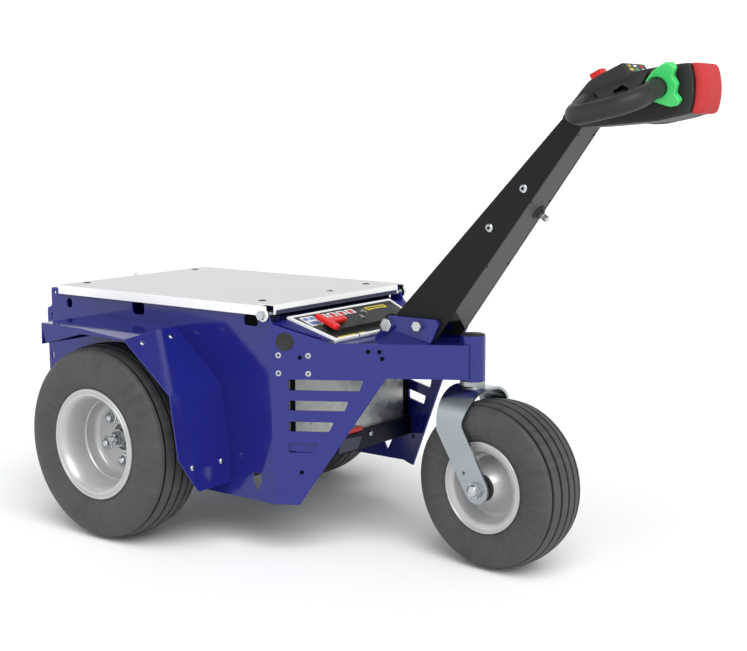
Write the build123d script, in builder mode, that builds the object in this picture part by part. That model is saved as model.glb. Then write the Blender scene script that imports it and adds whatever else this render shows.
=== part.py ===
"""Electric pedestrian tow tractor: folded plate chassis on two driven wheels and a castor, with a tiller.

Millimetres, +Z up, +X towards the tiller, +Y to the left. The origin is on the floor below the middle of
the outline. In side sketches, x is the distance ahead of the rear axle.
"""

import os
from math import asin, atan2, cos, degrees, hypot, radians, sin, tan

from build123d import *

# Reach of the whole tractor from its rear axle, which sets where the origin lies
REAR_REACH = 385
FRONT_REACH = 1172
AXLE_X = (REAR_REACH - FRONT_REACH) / 2

# Clearances
SEAT = 0.2
PIN_PLAY = 0.3
RUN_GAP = 5

# Deck lid
DECK_TOP = 506
DECK_REAR = 124 - REAR_REACH
DECK_FRONT = 359
DECK_HALF = 231
DECK_SHEET = 3
DECK_LIP = 20
DECK_HOLE_REAR = DECK_REAR + 28
DECK_HOLE_FRONT = DECK_FRONT - 62
DECK_HOLE_SIDE = DECK_HALF - 59
DECK_HOLE_R = 7
NOTCH_LENGTH = 24
NOTCH_PLAY = 2
HINGE_X = DECK_FRONT - 10
HINGE_Z = DECK_TOP - 19
HINGE_EAR_R = 13
HINGE_BOLT_R = 6
HINGE_COLLAR_R = 10
HINGE_HEAD = 8
LID_FOOT_X = DECK_REAR + 16
LID_FOOT_Y = 150
LID_FOOT_R = 9

# Side plates: a straight run beside the wheels, folded inwards to the head tube
PLATE = 4
SIDE_FACE = DECK_HALF - DECK_SHEET - RUN_GAP
PLATE_REAR = DECK_REAR - 50
PLATE_BOTTOM = 105
PLATE_TOP = DECK_TOP - DECK_SHEET - RUN_GAP
TAIL_STEP = 16
TAIL_SHOULDER = 455
TAIL_TOP = 450
TAIL_LOW = 180
TAIL_FOOT = PLATE_REAR + 71
PLATE_CORNER_R = 8
FOLD_X = HINGE_X + 16
FOLD_TOP = 470
FOLD_R = 8
BEAM_TOP = 433
BEAM_BOTTOM = 365
BEAM_START = 118
STRUT_TOP = 227
STRUT_FOOT = 52

# Head tube of the castor
HEAD_X = 691
HEAD_R = 25
HEAD_BORE_R = 18
HEAD_BOTTOM = 360
HEAD_TOP = 450
HEAD_REACH = HEAD_X - FOLD_X
FOLD_ANGLE = degrees(
    atan2(SIDE_FACE, HEAD_REACH) - asin((HEAD_R + SEAT + PLATE) / hypot(SIDE_FACE, HEAD_REACH))
)
BEAM_END = HEAD_REACH / cos(radians(FOLD_ANGLE)) + 11

# Driven wheels
WHEEL_R = 205
WHEEL_WIDTH = 130
WHEEL_GAP = 24
WHEEL_Y = SIDE_FACE + WHEEL_GAP + WHEEL_WIDTH / 2
RIM_SEAT_R = 100
RIM_FLANGE_R = 116
RIM_HALF = 61
RIM_SHEET = 4
RIM_LIP = 5
RIM_WELL_R = 88
RIM_WELL_HALF = 42
RIM_WELL_SLOPE = 9
RIM_DISC = -27
RIM_BOWL = 11
RIM_BOWL_R = 70
HUB_HOLE_R = 28
HUB_BOSS_R = HUB_HOLE_R - 3
STUD_CIRCLE_R = 50
STUD_COUNT = 5
STUD_START = 58.5
STUD_R = 6
NUT_R = 10
NUT_HEIGHT = 11
HUB_FLANGE = 12
HUB_FLANGE_R = 64
SHAFT_R = 17
SHAFT_LENGTH = 34

# Tyre crown: how wide and how low its shoulders lie
SHOULDER_SHARE = 0.86
SHOULDER_DROP = 0.08

# Drive axle
AXLE_TUBE_R = 40
HUB_GAP = 8
AXLE_TUBE_END = WHEEL_Y + RIM_DISC - HUB_FLANGE - HUB_GAP
GEARBOX_R = 74
GEARBOX_HALF = 62
GEARBOX_RISE = 30
GEARBOX_FALL = 55
MOTOR_X = 150
MOTOR_Z = 150
MOTOR_R = 56
MOTOR_RIGHT = -165
MOTOR_LEFT = 55

# Castor
CASTOR_TURN = -5.3
TRAIL = 65.5
CASTOR_R = 165
CASTOR_WIDTH = 122
CASTOR_SEAT_R = 74
CASTOR_FLANGE_R = 90
CASTOR_RIM_HALF = 55
CASTOR_HUB_R = 27
CASTOR_HUB_HALF = 50
CASTOR_AXLE_R = 10
CASTOR_SPACER_R = 17
CASTOR_NUT_R = 16
CASTOR_NUT = 9
FORK_SHEET = 5
FORK_INNER = CASTOR_WIDTH / 2 + RUN_GAP + 1
FORK_TOP = 351
FORK_BEND_R = 60
FORK_EYE_R = 28
FORK_KNEE_R = 18
FORK_HOLE = (36, 193)
FORK_HOLE_R = 3.5
BEARING_R = 25
STEM_R = HEAD_BORE_R - PIN_PLAY

# Fenders
FENDER_SHEET = 3
FENDER_EDGE = WHEEL_Y + WHEEL_WIDTH / 2 - 7
FENDER_LINE = (
    (52 - WHEEL_R, 2 * WHEEL_R - 9), (53 - WHEEL_R, 2 * WHEEL_R + 36), (WHEEL_R - 102, 2 * WHEEL_R + 33),
    (WHEEL_R + 23, WHEEL_R + 130), (WHEEL_R + 43, WHEEL_R + 2), (WHEEL_R + 45, WHEEL_R - 72),
)
FENDER_CORNER_Y = FENDER_EDGE - 51
FENDER_CORNER_Z = FENDER_LINE[4][1]
SKIRT_FRONT = -26
SKIRT_FOOT = (FENDER_LINE[0][0] + 13, FENDER_LINE[0][1] + 2)

# Battery box and floor tray
TRAY_REAR = 80
TRAY_FRONT = 405
TRAY_TOP = 215
TRAY_LIP = 34
BOX_REAR = 95
BOX_FRONT = 390
BOX_HALF = 200
BOX_TOP = 425
BOX_SHEET = 2
BATTERY_TOP = 405
BATTERY_PLAY = 1

# Rear plate and tow jaw
REAR_PLATE_X = PLATE_REAR + 12
REAR_PLATE_BOTTOM = 180
REAR_PLATE_TOP = 480
REAR_SHELF = 74
JAW_BASE = 8
JAW_BASE_HALF = 60
JAW_EAR = 12
JAW_HALF = 40
JAW_GAP = 40
JAW_Z = 275
TOW_BORE_R = 13
TOW_BORE_X = JAW_HALF - REAR_REACH

# Top plate, tiller bracket and arm
TOP_PLATE_REAR = 466
TOP_PLATE_Z = 432
BRACKET_IN = 54
BRACKET_SHEET = 6
PIVOT_X = 531
PIVOT_Z = TOP_PLATE_Z + 31
PIVOT_R = 10
PIVOT_HEAD_R = 14
LOCK_X = PIVOT_X + 73.5
LOCK_Z = PIVOT_Z + 4
LOCK_R = 8
LOCK_HEAD_R = 11
BRACKET_TOP = PIVOT_Z + 19
BRACKET_TAIL = PIVOT_X - 35
BRACKET_NOSE = PIVOT_X + 124
BRACKET_FOOT = PIVOT_X + 99
BRACKET_CORNER_R = 9
TILT_RANGE = 12
SLOT_SPARE = 1
ARM_HALF = BRACKET_IN - RUN_GAP
ARM_TOP_HALF = 36
ARM_SHEET = 4
ARM_RECESS = 1
ARM_CUT_RIGHT = 76
ARM_CUT_LEFT = 16
ARM_EYE_R = 22

# Tiller head
HEAD_HALF = 42
BUTTON_DEPTH = 21
HEAD_NOSE_X = FRONT_REACH - BUTTON_DEPTH
NOSE_Z = 915
# Outline of the head, each point as its run back from the nose and its height
HEAD_TOP_LINE = (
    (9, 956), (52, 953), (93, 947), (119, 941), (132, 960), (170, 943), (197, 930), (230, 893),
)
HEAD_UNDER_LINE = ((190, 850), (67, 859), (7, 871))
ARM_FRONT_HIGH = (HEAD_NOSE_X - 212, 849)
ARM_REAR_HIGH = (HEAD_NOSE_X - 250, 865)
ARM_FRONT_LOW = (633, 437)
ARM_REAR_LOW = (537, 479)
HEAD_EDGE_R = 6
GRIP_R = 17
GRIP_SIDE = 166
GRIP_FRONT = HEAD_NOSE_X - 54
GRIP_REAR = GRIP_FRONT - 119
GRIP_TAIL = GRIP_REAR - 23
GRIP_MID = GRIP_FRONT - 57
GRIP_BEND_R = 40
GRIP_HUB_Z = 911
GRIP_FALL = 0.28
GRIP_RISE = 0.2
GRIP_ROOT = 8
WEB_FRONT = GRIP_FRONT - 26
WEB_REACH = 44
WEB_SHEET = 12
PADDLE_START = 20
PADDLE_WIDTH = 16
PADDLE_WALL = 4
PADDLE_TIP_R = 3.5
PADDLE_LINE = (
    (-20, 12), (-5, 29), (14, 40), (28, 39), (34, 30), (28, 17), (35, 3),
    (30, -13), (38, -24), (34, -32), (20, -34), (4, -29), (-14, -22),
)
BUTTON_HALF = 38
BUTTON_EDGE_R = 13
DISPLAY_MARGIN = 3
DISPLAY_HEIGHT = 1.5
HORN_DOWN = 26
HORN_LENGTH = 26
HORN_WIDTH = 24
HORN_HEIGHT = 17
KNOB_UP = 318
KNOB_Y = 20
KNOB_R = 14
KNOB_LENGTH = 14

# Cross member under the lid's front edge
CROSS_X = HINGE_X - 19
CROSS_BOTTOM = 440
CROSS_TOP = 474

# Control panel
PANEL_SLOPE = 20
PANEL_REAR = FOLD_X - 4
PANEL_REAR_Z = HINGE_Z - 10.5
PANEL_FRONT = TOP_PLATE_REAR + 4
PANEL_REAR_HALF = SIDE_FACE - 51
PANEL_FRONT_HALF = PANEL_REAR_HALF - 24
PANEL_SHEET = 3
PANEL_LIP = 18
COVER_SHEET = 2
COVER_FRONT = TOP_PLATE_REAR - 2 * PANEL_SHEET
CONSOLE_REAR = PANEL_REAR + 41
CONSOLE_FRONT = PANEL_REAR + 85
CONSOLE_HALF = PANEL_FRONT_HALF - 38
CONSOLE_HEIGHT = 10
CONSOLE_CORNER_R = 4
ISOLATOR_Y = -CONSOLE_HALF - 18
ISOLATOR_R = 9
ISOLATOR_POST_R = 7
ISOLATOR_RISE = 2
ISOLATOR_SPAN = 60
ISOLATOR_STEM = 66
ISOLATOR_HEIGHT = 9
KEY_Y = -12
KEY_R = 7
KEY_HEIGHT = 4
KEY_SHEET = 3


def side_plane(y):
    """Return the plane at this y whose sketch x runs ahead from the rear axle and whose normal is -Y."""
    return Plane(origin=(AXLE_X, y, 0), x_dir=(1, 0, 0), z_dir=(0, -1, 0))


def level_plane(z):
    """Return the level plane at this height whose sketch x runs ahead from the rear axle."""
    return Plane(origin=(AXLE_X, 0, z), x_dir=(1, 0, 0), z_dir=(0, 0, 1))


def wheel_plane(centre, outward):
    """Return the plane through a wheel's axis: sketch x along the axle, sketch y up from the centre."""
    return Plane(origin=centre, x_dir=outward, z_dir=Vector(outward).cross(Vector(0, 0, 1)))


def save(piece, label):
    """Name a finished piece and write its file."""
    piece.label = label
    export_step(piece, f"parts/{label}.step")


def save_pair(right_piece, label):
    """Write a right-hand piece and its mirror image on the left."""
    save(right_piece, f"{label}_right")
    with BuildPart() as left_piece:
        mirror(right_piece, about=Plane.XZ)
    save(left_piece.part, f"{label}_left")


os.makedirs("parts", exist_ok=True)

# Side plates
fold_direction = (cos(radians(FOLD_ANGLE)), sin(radians(FOLD_ANGLE)), 0)
fold_normal = (sin(radians(FOLD_ANGLE)), -cos(radians(FOLD_ANGLE)), 0)
FOLD_PLANE = Plane(origin=(AXLE_X + FOLD_X, -SIDE_FACE, 0), x_dir=fold_direction, z_dir=fold_normal)

# Vent slots of the folded front: top, height, reach at the top and at the bottom, all from the fold
SLOT_START = 32
SLOT_CORNER_R = 3
VENT_SLOTS = ((360, 22, 182, 174), (317.5, 20, 152, 144), (275, 20, 123, 112), (232, 20, 91, 80))
# Round holes of the folded front: distance from the fold, height, radius
FRONT_HOLES = (
    (13, 408, 4.5), (72.5, 408, 4.5), (13, 372, 4.5), (72.5, 372, 4.5), (26, 435, 17), (56, 404, 4.5),
    (191, 417.5, 4.5), (213.5, 417.5, 4.5), (219, 404, 4.5), (57, 172, 4.5),
)
# Rounded cuts of the straight run: x, z, length, height, corner radius
SIDE_CUTS = (
    (PLATE_REAR + 27, 486, 8, 8, 3.9), (PLATE_REAR + 76.5, 466, 18, 22, 8.9),
    (PLATE_REAR + 15.5, 432, 6, 16, 2.9), (PLATE_REAR + 12.5, 341, 6, 16, 2.9),
    (-12.5, 472, 37, 28, 9), (FOLD_X - 53.5, 473, 37, 22, 7),
)
ARROW_X, ARROW_TOP, ARROW_TIP, ARROW_HALF = 320, 163, 122, 12

with BuildPart() as side_plate:
    with BuildSketch(side_plane(PLATE - SIDE_FACE)) as straight_run:
        with BuildLine():
            Polyline(
                (PLATE_REAR, TAIL_LOW), (PLATE_REAR, TAIL_TOP), (PLATE_REAR + TAIL_STEP, TAIL_SHOULDER),
                (PLATE_REAR + TAIL_STEP, PLATE_TOP), (HINGE_X, PLATE_TOP), (FOLD_X, FOLD_TOP),
                (FOLD_X, PLATE_BOTTOM), (TAIL_FOOT, PLATE_BOTTOM), close=True,
            )
        make_face()
        fillet(straight_run.vertices().filter_by_position(Axis.X, PLATE_REAR, TAIL_FOOT), PLATE_CORNER_R)
        for x, z, length, height, corner in SIDE_CUTS:
            with Locations((x, z)):
                RectangleRounded(length, height, corner, mode=Mode.SUBTRACT)
        with Locations((0, WHEEL_R)):
            Circle(AXLE_TUBE_R + SEAT, mode=Mode.SUBTRACT)
        with Locations((HINGE_X, HINGE_Z)):
            Circle(HINGE_BOLT_R + SEAT, mode=Mode.SUBTRACT)
        with BuildLine():
            Polyline(
                (ARROW_X - ARROW_HALF, ARROW_TOP), (ARROW_X + ARROW_HALF, ARROW_TOP),
                (ARROW_X + ARROW_HALF, ARROW_TIP + 2 * ARROW_HALF), (ARROW_X, ARROW_TIP),
                (ARROW_X - ARROW_HALF, ARROW_TIP + 2 * ARROW_HALF), close=True,
            )
        make_face(mode=Mode.SUBTRACT)
    extrude(amount=PLATE)
    with BuildSketch(FOLD_PLANE):
        with BuildLine():
            Polyline(
                (0, FOLD_TOP), (BEAM_START, BEAM_TOP), (BEAM_END, BEAM_TOP), (BEAM_END, BEAM_BOTTOM),
                (STRUT_TOP, BEAM_BOTTOM), (STRUT_FOOT, PLATE_BOTTOM), (0, PLATE_BOTTOM), close=True,
            )
        make_face()
        for top, height, reach, low_reach in VENT_SLOTS:
            low = top - height
            with BuildLine():
                FilletPolyline(
                    (SLOT_START, top), (reach, top), (low_reach, low), (SLOT_START, low),
                    radius=SLOT_CORNER_R, close=True,
                )
            make_face(mode=Mode.SUBTRACT)
        for s, z, radius in FRONT_HOLES:
            with Locations((s, z)):
                Circle(radius, mode=Mode.SUBTRACT)
    extrude(amount=-PLATE)
    fold_edge = Vector(AXLE_X + FOLD_X, -SIDE_FACE, (FOLD_TOP + PLATE_BOTTOM) / 2)
    fillet(side_plate.edges().filter_by(Axis.Z).sort_by_distance(fold_edge)[0], FOLD_R)
save_pair(side_plate.part, "side_plate")

# Head tube
with BuildPart() as head_tube:
    with BuildSketch(level_plane(HEAD_BOTTOM)):
        with Locations((HEAD_X, 0)):
            Circle(HEAD_R)
            Circle(HEAD_BORE_R, mode=Mode.SUBTRACT)
    extrude(amount=HEAD_TOP - HEAD_BOTTOM)
save(head_tube.part, "head_tube")


def inner_half(x):
    """Return the half width between the side plates' inner faces at this distance ahead of the axle."""
    straight = SIDE_FACE - PLATE
    folded = SIDE_FACE - (x - FOLD_X) * tan(radians(FOLD_ANGLE)) - PLATE / cos(radians(FOLD_ANGLE))
    return min(straight, folded) - SEAT


# Top plate between the folded fronts, ending round the head tube
with BuildPart() as top_plate:
    with BuildSketch(level_plane(TOP_PLATE_Z)):
        with BuildLine():
            Polyline(
                (TOP_PLATE_REAR, -inner_half(TOP_PLATE_REAR)), (HEAD_X, -inner_half(HEAD_X)),
                (HEAD_X, inner_half(HEAD_X)), (TOP_PLATE_REAR, inner_half(TOP_PLATE_REAR)), close=True,
            )
        make_face()
        with Locations((HEAD_X, 0)):
            Circle(HEAD_R + SEAT, mode=Mode.SUBTRACT)
    extrude(amount=-PLATE)
save(top_plate.part, "top_plate")

# Floor tray with its front lip
with BuildPart() as floor_tray:
    with BuildSketch(level_plane(TRAY_TOP)):
        with BuildLine():
            fold_half = inner_half(FOLD_X)
            front_half = inner_half(TRAY_FRONT)
            Polyline(
                (TRAY_REAR, -fold_half), (FOLD_X, -fold_half), (TRAY_FRONT, -front_half),
                (TRAY_FRONT, front_half), (FOLD_X, fold_half), (TRAY_REAR, fold_half), close=True,
            )
        make_face()
    extrude(amount=-PLATE)
    with BuildSketch(level_plane(TRAY_TOP - PLATE)):
        with Locations((TRAY_FRONT - PLATE / 2, 0)):
            Rectangle(PLATE, 2 * front_half)
    extrude(amount=-TRAY_LIP)
save(floor_tray.part, "floor_tray")

# Battery box and battery
with BuildPart() as battery_box:
    with BuildSketch(level_plane(TRAY_TOP)):
        with Locations(((BOX_REAR + BOX_FRONT) / 2, 0)):
            Rectangle(BOX_FRONT - BOX_REAR, 2 * BOX_HALF)
    extrude(amount=BOX_TOP - TRAY_TOP)
    with BuildSketch(level_plane(TRAY_TOP + BOX_SHEET)):
        with Locations(((BOX_REAR + BOX_FRONT) / 2, 0)):
            Rectangle(BOX_FRONT - BOX_REAR - 2 * BOX_SHEET, 2 * (BOX_HALF - BOX_SHEET))
    extrude(amount=BOX_TOP - TRAY_TOP, mode=Mode.SUBTRACT)
save(battery_box.part, "battery_box")

with BuildPart() as battery:
    with BuildSketch(level_plane(TRAY_TOP + BOX_SHEET)):
        with Locations(((BOX_REAR + BOX_FRONT) / 2, 0)):
            battery_inset = BOX_SHEET + BATTERY_PLAY
            Rectangle(BOX_FRONT - BOX_REAR - 2 * battery_inset, 2 * (BOX_HALF - battery_inset))
    extrude(amount=BATTERY_TOP - TRAY_TOP - BOX_SHEET)
save(battery.part, "battery")

# Rear plate with a shelf under the lid, its rubber feet, and the tow jaw
with BuildPart() as rear_plate:
    rear_half = SIDE_FACE - PLATE - SEAT
    with BuildSketch(level_plane(REAR_PLATE_BOTTOM)):
        with Locations((REAR_PLATE_X + PLATE / 2, 0)):
            Rectangle(PLATE, 2 * rear_half)
    extrude(amount=REAR_PLATE_TOP - REAR_PLATE_BOTTOM)
    with BuildSketch(level_plane(REAR_PLATE_TOP)):
        with Locations((REAR_PLATE_X + REAR_SHELF / 2, 0)):
            Rectangle(REAR_SHELF, 2 * rear_half)
    extrude(amount=-PLATE)
save(rear_plate.part, "rear_plate")

with BuildPart() as cross_member:
    with BuildSketch(level_plane(CROSS_BOTTOM)):
        with Locations((CROSS_X, 0)):
            Rectangle(PLATE, 2 * rear_half)
    extrude(amount=CROSS_TOP - CROSS_BOTTOM)
save(cross_member.part, "cross_member")

with BuildPart() as lid_feet:
    with BuildSketch(level_plane(REAR_PLATE_TOP)):
        with Locations((LID_FOOT_X, -LID_FOOT_Y), (LID_FOOT_X, LID_FOOT_Y)):
            Circle(LID_FOOT_R)
    extrude(amount=DECK_TOP - DECK_SHEET - SEAT - REAR_PLATE_TOP)
save(lid_feet.part, "lid_feet")

with BuildPart() as tow_jaw:
    jaw_face = REAR_PLATE_X - JAW_BASE
    with BuildSketch(level_plane(JAW_Z - JAW_BASE_HALF)):
        with Locations((REAR_PLATE_X - JAW_BASE / 2, 0)):
            Rectangle(JAW_BASE, 2 * JAW_BASE_HALF)
    extrude(amount=2 * JAW_BASE_HALF)
    for ear_z in (JAW_Z - JAW_GAP / 2 - JAW_EAR, JAW_Z + JAW_GAP / 2):
        with BuildSketch(level_plane(ear_z)):
            with Locations(((TOW_BORE_X + jaw_face) / 2, 0)):
                Rectangle(jaw_face - TOW_BORE_X, 2 * JAW_HALF)
            with Locations((TOW_BORE_X, 0)):
                Circle(JAW_HALF)
                Circle(TOW_BORE_R, mode=Mode.SUBTRACT)
        extrude(amount=JAW_EAR)
save(tow_jaw.part, "tow_jaw")

# Fenders
with BuildPart() as fender:
    with BuildSketch(side_plane(-SIDE_FACE - SEAT)):
        with BuildLine():
            Polyline(*FENDER_LINE)
            offset(amount=FENDER_SHEET, side=Side.RIGHT)
        make_face()
    extrude(amount=FENDER_EDGE - SIDE_FACE - SEAT)
    with BuildSketch(side_plane(-FENDER_EDGE + FENDER_SHEET)):
        with BuildLine():
            Polyline((SKIRT_FRONT, FENDER_LINE[2][1]), SKIRT_FOOT, FENDER_LINE[1], close=True)
        make_face()
    extrude(amount=FENDER_SHEET)
    with BuildSketch(Plane(origin=(AXLE_X, 0, 0), x_dir=(0, -1, 0), z_dir=(-1, 0, 0))):
        with BuildLine():
            Polyline(
                (FENDER_CORNER_Y, FENDER_LINE[5][1]), (FENDER_EDGE, FENDER_CORNER_Z),
                (FENDER_EDGE, FENDER_LINE[5][1]), close=True,
            )
        make_face()
    extrude(amount=-2 * FENDER_LINE[5][0], mode=Mode.SUBTRACT)
save_pair(fender.part, "fender")

# Drive axle: gearbox, tubes through the side plates, and the transverse motor
axle_axis = Axis((AXLE_X, 0, WHEEL_R), (0, 1, 0))
with BuildPart() as drive_axle:
    with BuildSketch(side_plane(GEARBOX_HALF)):
        with Locations((0, WHEEL_R)):
            Circle(GEARBOX_R)
    extrude(amount=2 * GEARBOX_HALF)
    with BuildSketch(side_plane(AXLE_TUBE_END)):
        with Locations((0, WHEEL_R)):
            Circle(AXLE_TUBE_R)
    extrude(amount=2 * AXLE_TUBE_END)
    with BuildSketch(side_plane(AXLE_TUBE_END)):
        with Locations((0, WHEEL_R)):
            Circle(SHAFT_R + PIN_PLAY)
    extrude(amount=2 * AXLE_TUBE_END, mode=Mode.SUBTRACT)
    with BuildSketch(side_plane(GEARBOX_HALF / 2)):
        with BuildLine():
            Polyline(
                (0, WHEEL_R + GEARBOX_RISE), (0, WHEEL_R - GEARBOX_FALL), (MOTOR_X, MOTOR_Z - GEARBOX_RISE),
                (MOTOR_X, MOTOR_Z + GEARBOX_RISE), close=True,
            )
        make_face()
        with Locations((0, WHEEL_R)):
            Circle(AXLE_TUBE_R, mode=Mode.SUBTRACT)
        with Locations((MOTOR_X, MOTOR_Z)):
            Circle(MOTOR_R + SEAT, mode=Mode.SUBTRACT)
    extrude(amount=GEARBOX_HALF)
save(drive_axle.part, "drive_axle")

with BuildPart() as drive_motor:
    with BuildSketch(side_plane(MOTOR_LEFT)):
        with Locations((MOTOR_X, MOTOR_Z)):
            Circle(MOTOR_R)
    extrude(amount=MOTOR_LEFT - MOTOR_RIGHT)
save(drive_motor.part, "drive_motor")


def tyre_section(width, radius, seat_radius, bead_radius, bead_half):
    """Return a tyre's section across its middle: beads, bulged walls, shoulders and crown."""
    half = width / 2
    shoulder_half = SHOULDER_SHARE * half
    shoulder = radius - SHOULDER_DROP * width
    bulge = (bead_radius + shoulder) / 2
    with BuildSketch() as section:
        with BuildLine():
            Polyline(
                (bead_half, bead_radius), (bead_half, seat_radius), (-bead_half, seat_radius),
                (-bead_half, bead_radius),
            )
            ThreePointArc((-bead_half, bead_radius), (-half, bulge), (-shoulder_half, shoulder))
            ThreePointArc((-shoulder_half, shoulder), (0, radius), (shoulder_half, shoulder))
            ThreePointArc((shoulder_half, shoulder), (half, bulge), (bead_half, bead_radius))
        make_face()
    return section.sketch


# Driven wheels
WHEEL_PLANE = wheel_plane((AXLE_X, -WHEEL_Y, WHEEL_R), (0, -1, 0))
with BuildPart() as tyre:
    with BuildSketch(WHEEL_PLANE):
        bead_half = RIM_HALF - RIM_SHEET - SEAT
        add(tyre_section(WHEEL_WIDTH, WHEEL_R, RIM_SEAT_R + SEAT, RIM_FLANGE_R + SEAT, bead_half))
    revolve(axis=axle_axis)
save_pair(tyre.part, "tyre")

with BuildPart() as rim:
    with BuildSketch(WHEEL_PLANE):
        lip = RIM_HALF - RIM_SHEET
        well_top = RIM_WELL_HALF + RIM_WELL_SLOPE
        with BuildLine():
            Polyline(
                (RIM_HALF, RIM_FLANGE_R), (lip, RIM_FLANGE_R - RIM_LIP), (lip, RIM_SEAT_R),
                (well_top, RIM_SEAT_R), (RIM_WELL_HALF, RIM_WELL_R), (-RIM_WELL_HALF, RIM_WELL_R),
                (-well_top, RIM_SEAT_R), (-lip, RIM_SEAT_R), (-lip, RIM_FLANGE_R - RIM_LIP),
                (-RIM_HALF, RIM_FLANGE_R),
            )
            offset(amount=RIM_SHEET, side=Side.LEFT)
        make_face()
        with BuildLine():
            Polyline(
                (RIM_DISC + RIM_BOWL, RIM_WELL_R - RIM_SHEET), (RIM_DISC, RIM_BOWL_R),
                (RIM_DISC, HUB_HOLE_R), (RIM_DISC + RIM_SHEET, HUB_HOLE_R),
                (RIM_DISC + RIM_SHEET, RIM_BOWL_R - RIM_SHEET),
                (RIM_DISC + RIM_BOWL + RIM_SHEET, RIM_WELL_R - RIM_SHEET), close=True,
            )
        make_face()
    revolve(axis=axle_axis)
    with BuildSketch(side_plane(-WHEEL_Y)):
        with Locations((0, WHEEL_R)):
            with PolarLocations(STUD_CIRCLE_R, STUD_COUNT, start_angle=STUD_START):
                Circle(STUD_R + SEAT)
    extrude(amount=RIM_DISC, mode=Mode.SUBTRACT)
save_pair(rim.part, "rim")

with BuildPart() as hub:
    disc_face = WHEEL_Y + RIM_DISC - SEAT
    with BuildSketch(side_plane(-disc_face)):
        with Locations((0, WHEEL_R)):
            Circle(HUB_FLANGE_R)
    extrude(amount=-HUB_FLANGE)
    with BuildSketch(side_plane(-disc_face + HUB_FLANGE)):
        with Locations((0, WHEEL_R)):
            Circle(SHAFT_R)
    extrude(amount=-SHAFT_LENGTH)
    with BuildSketch(side_plane(-disc_face)):
        with Locations((0, WHEEL_R)):
            Circle(HUB_BOSS_R)
            with PolarLocations(STUD_CIRCLE_R, STUD_COUNT, start_angle=STUD_START):
                Circle(STUD_R)
    extrude(amount=RIM_SHEET + 2 * SEAT)
    with BuildSketch(side_plane(-disc_face - RIM_SHEET - 2 * SEAT)):
        with Locations((0, WHEEL_R)):
            Circle(SHAFT_R)
            with PolarLocations(STUD_CIRCLE_R, STUD_COUNT, start_angle=STUD_START):
                RegularPolygon(NUT_R, 6)
    extrude(amount=NUT_HEIGHT)
save_pair(hub.part, "hub")

# Castor: fork, stem, axle and wheel, swivelled about the head tube
castor_ahead = Vector(cos(radians(CASTOR_TURN)), sin(radians(CASTOR_TURN)), 0)
castor_axle_way = Vector(sin(radians(CASTOR_TURN)), -cos(radians(CASTOR_TURN)), 0)
head_centre = Vector(AXLE_X + HEAD_X, 0, 0)
castor_centre = head_centre + castor_ahead * TRAIL + Vector(0, 0, CASTOR_R)
castor_axis = Axis(castor_centre, castor_axle_way)
FORK_PLANE = Plane(origin=head_centre, x_dir=castor_ahead, z_dir=castor_axle_way)
FORK_ARCH_PLANE = Plane(origin=head_centre, x_dir=castor_axle_way, z_dir=-castor_ahead)
FORK_LINE = ((-33, 269), (-31, FORK_TOP), (46, FORK_TOP), (42, 325), (28, 285))
fork_outer = FORK_INNER + FORK_SHEET
fork_eye = Vector(TRAIL, CASTOR_R, 0)
leg_top = (Vector(*FORK_LINE[0], 0) + Vector(*FORK_LINE[-1], 0)) / 2
leg_edge = (fork_eye - leg_top).normalized().rotate(Axis.Z, 90) * FORK_EYE_R

with BuildPart() as castor_fork:
    with BuildSketch(FORK_ARCH_PLANE):
        with Locations((0, FORK_TOP / 2)):
            Rectangle(2 * fork_outer, FORK_TOP)
        fillet(vertices().group_by(Axis.Y)[-1], FORK_BEND_R)
        with BuildSketch(FORK_ARCH_PLANE, mode=Mode.PRIVATE) as arch_inside:
            with Locations((0, (FORK_TOP - FORK_SHEET) / 2)):
                Rectangle(2 * FORK_INNER, FORK_TOP - FORK_SHEET)
            fillet(arch_inside.vertices().group_by(Axis.Y)[-1], FORK_BEND_R - FORK_SHEET)
        add(arch_inside.sketch_local, mode=Mode.SUBTRACT)
    extrude(amount=2 * TRAIL + FORK_EYE_R, both=True)
    with BuildSketch(FORK_PLANE) as leg_outline:
        with BuildLine():
            Polyline(*FORK_LINE, fork_eye + leg_edge, fork_eye - leg_edge, close=True)
        make_face()
        knees = leg_outline.vertices().filter_by_position(Axis.Y, FORK_LINE[0][1], FORK_LINE[-1][1])
        fillet(knees, FORK_KNEE_R)
        with Locations(fork_eye):
            Circle(FORK_EYE_R)
            Circle(CASTOR_AXLE_R + SEAT, mode=Mode.SUBTRACT)
        with Locations(FORK_HOLE):
            Circle(FORK_HOLE_R, mode=Mode.SUBTRACT)
    extrude(amount=fork_outer, both=True, mode=Mode.INTERSECT)
save(castor_fork.part, "castor_fork")

with BuildPart() as castor_stem:
    with BuildSketch(Plane.XY.offset(FORK_TOP)):
        with Locations(head_centre):
            Circle(BEARING_R)
    extrude(amount=HEAD_BOTTOM - FORK_TOP - PIN_PLAY)
    with BuildSketch(Plane.XY.offset(FORK_TOP)):
        with Locations(head_centre):
            Circle(STEM_R)
    extrude(amount=HEAD_TOP - FORK_TOP - 2 * RUN_GAP)
save(castor_stem.part, "castor_stem")

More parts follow.
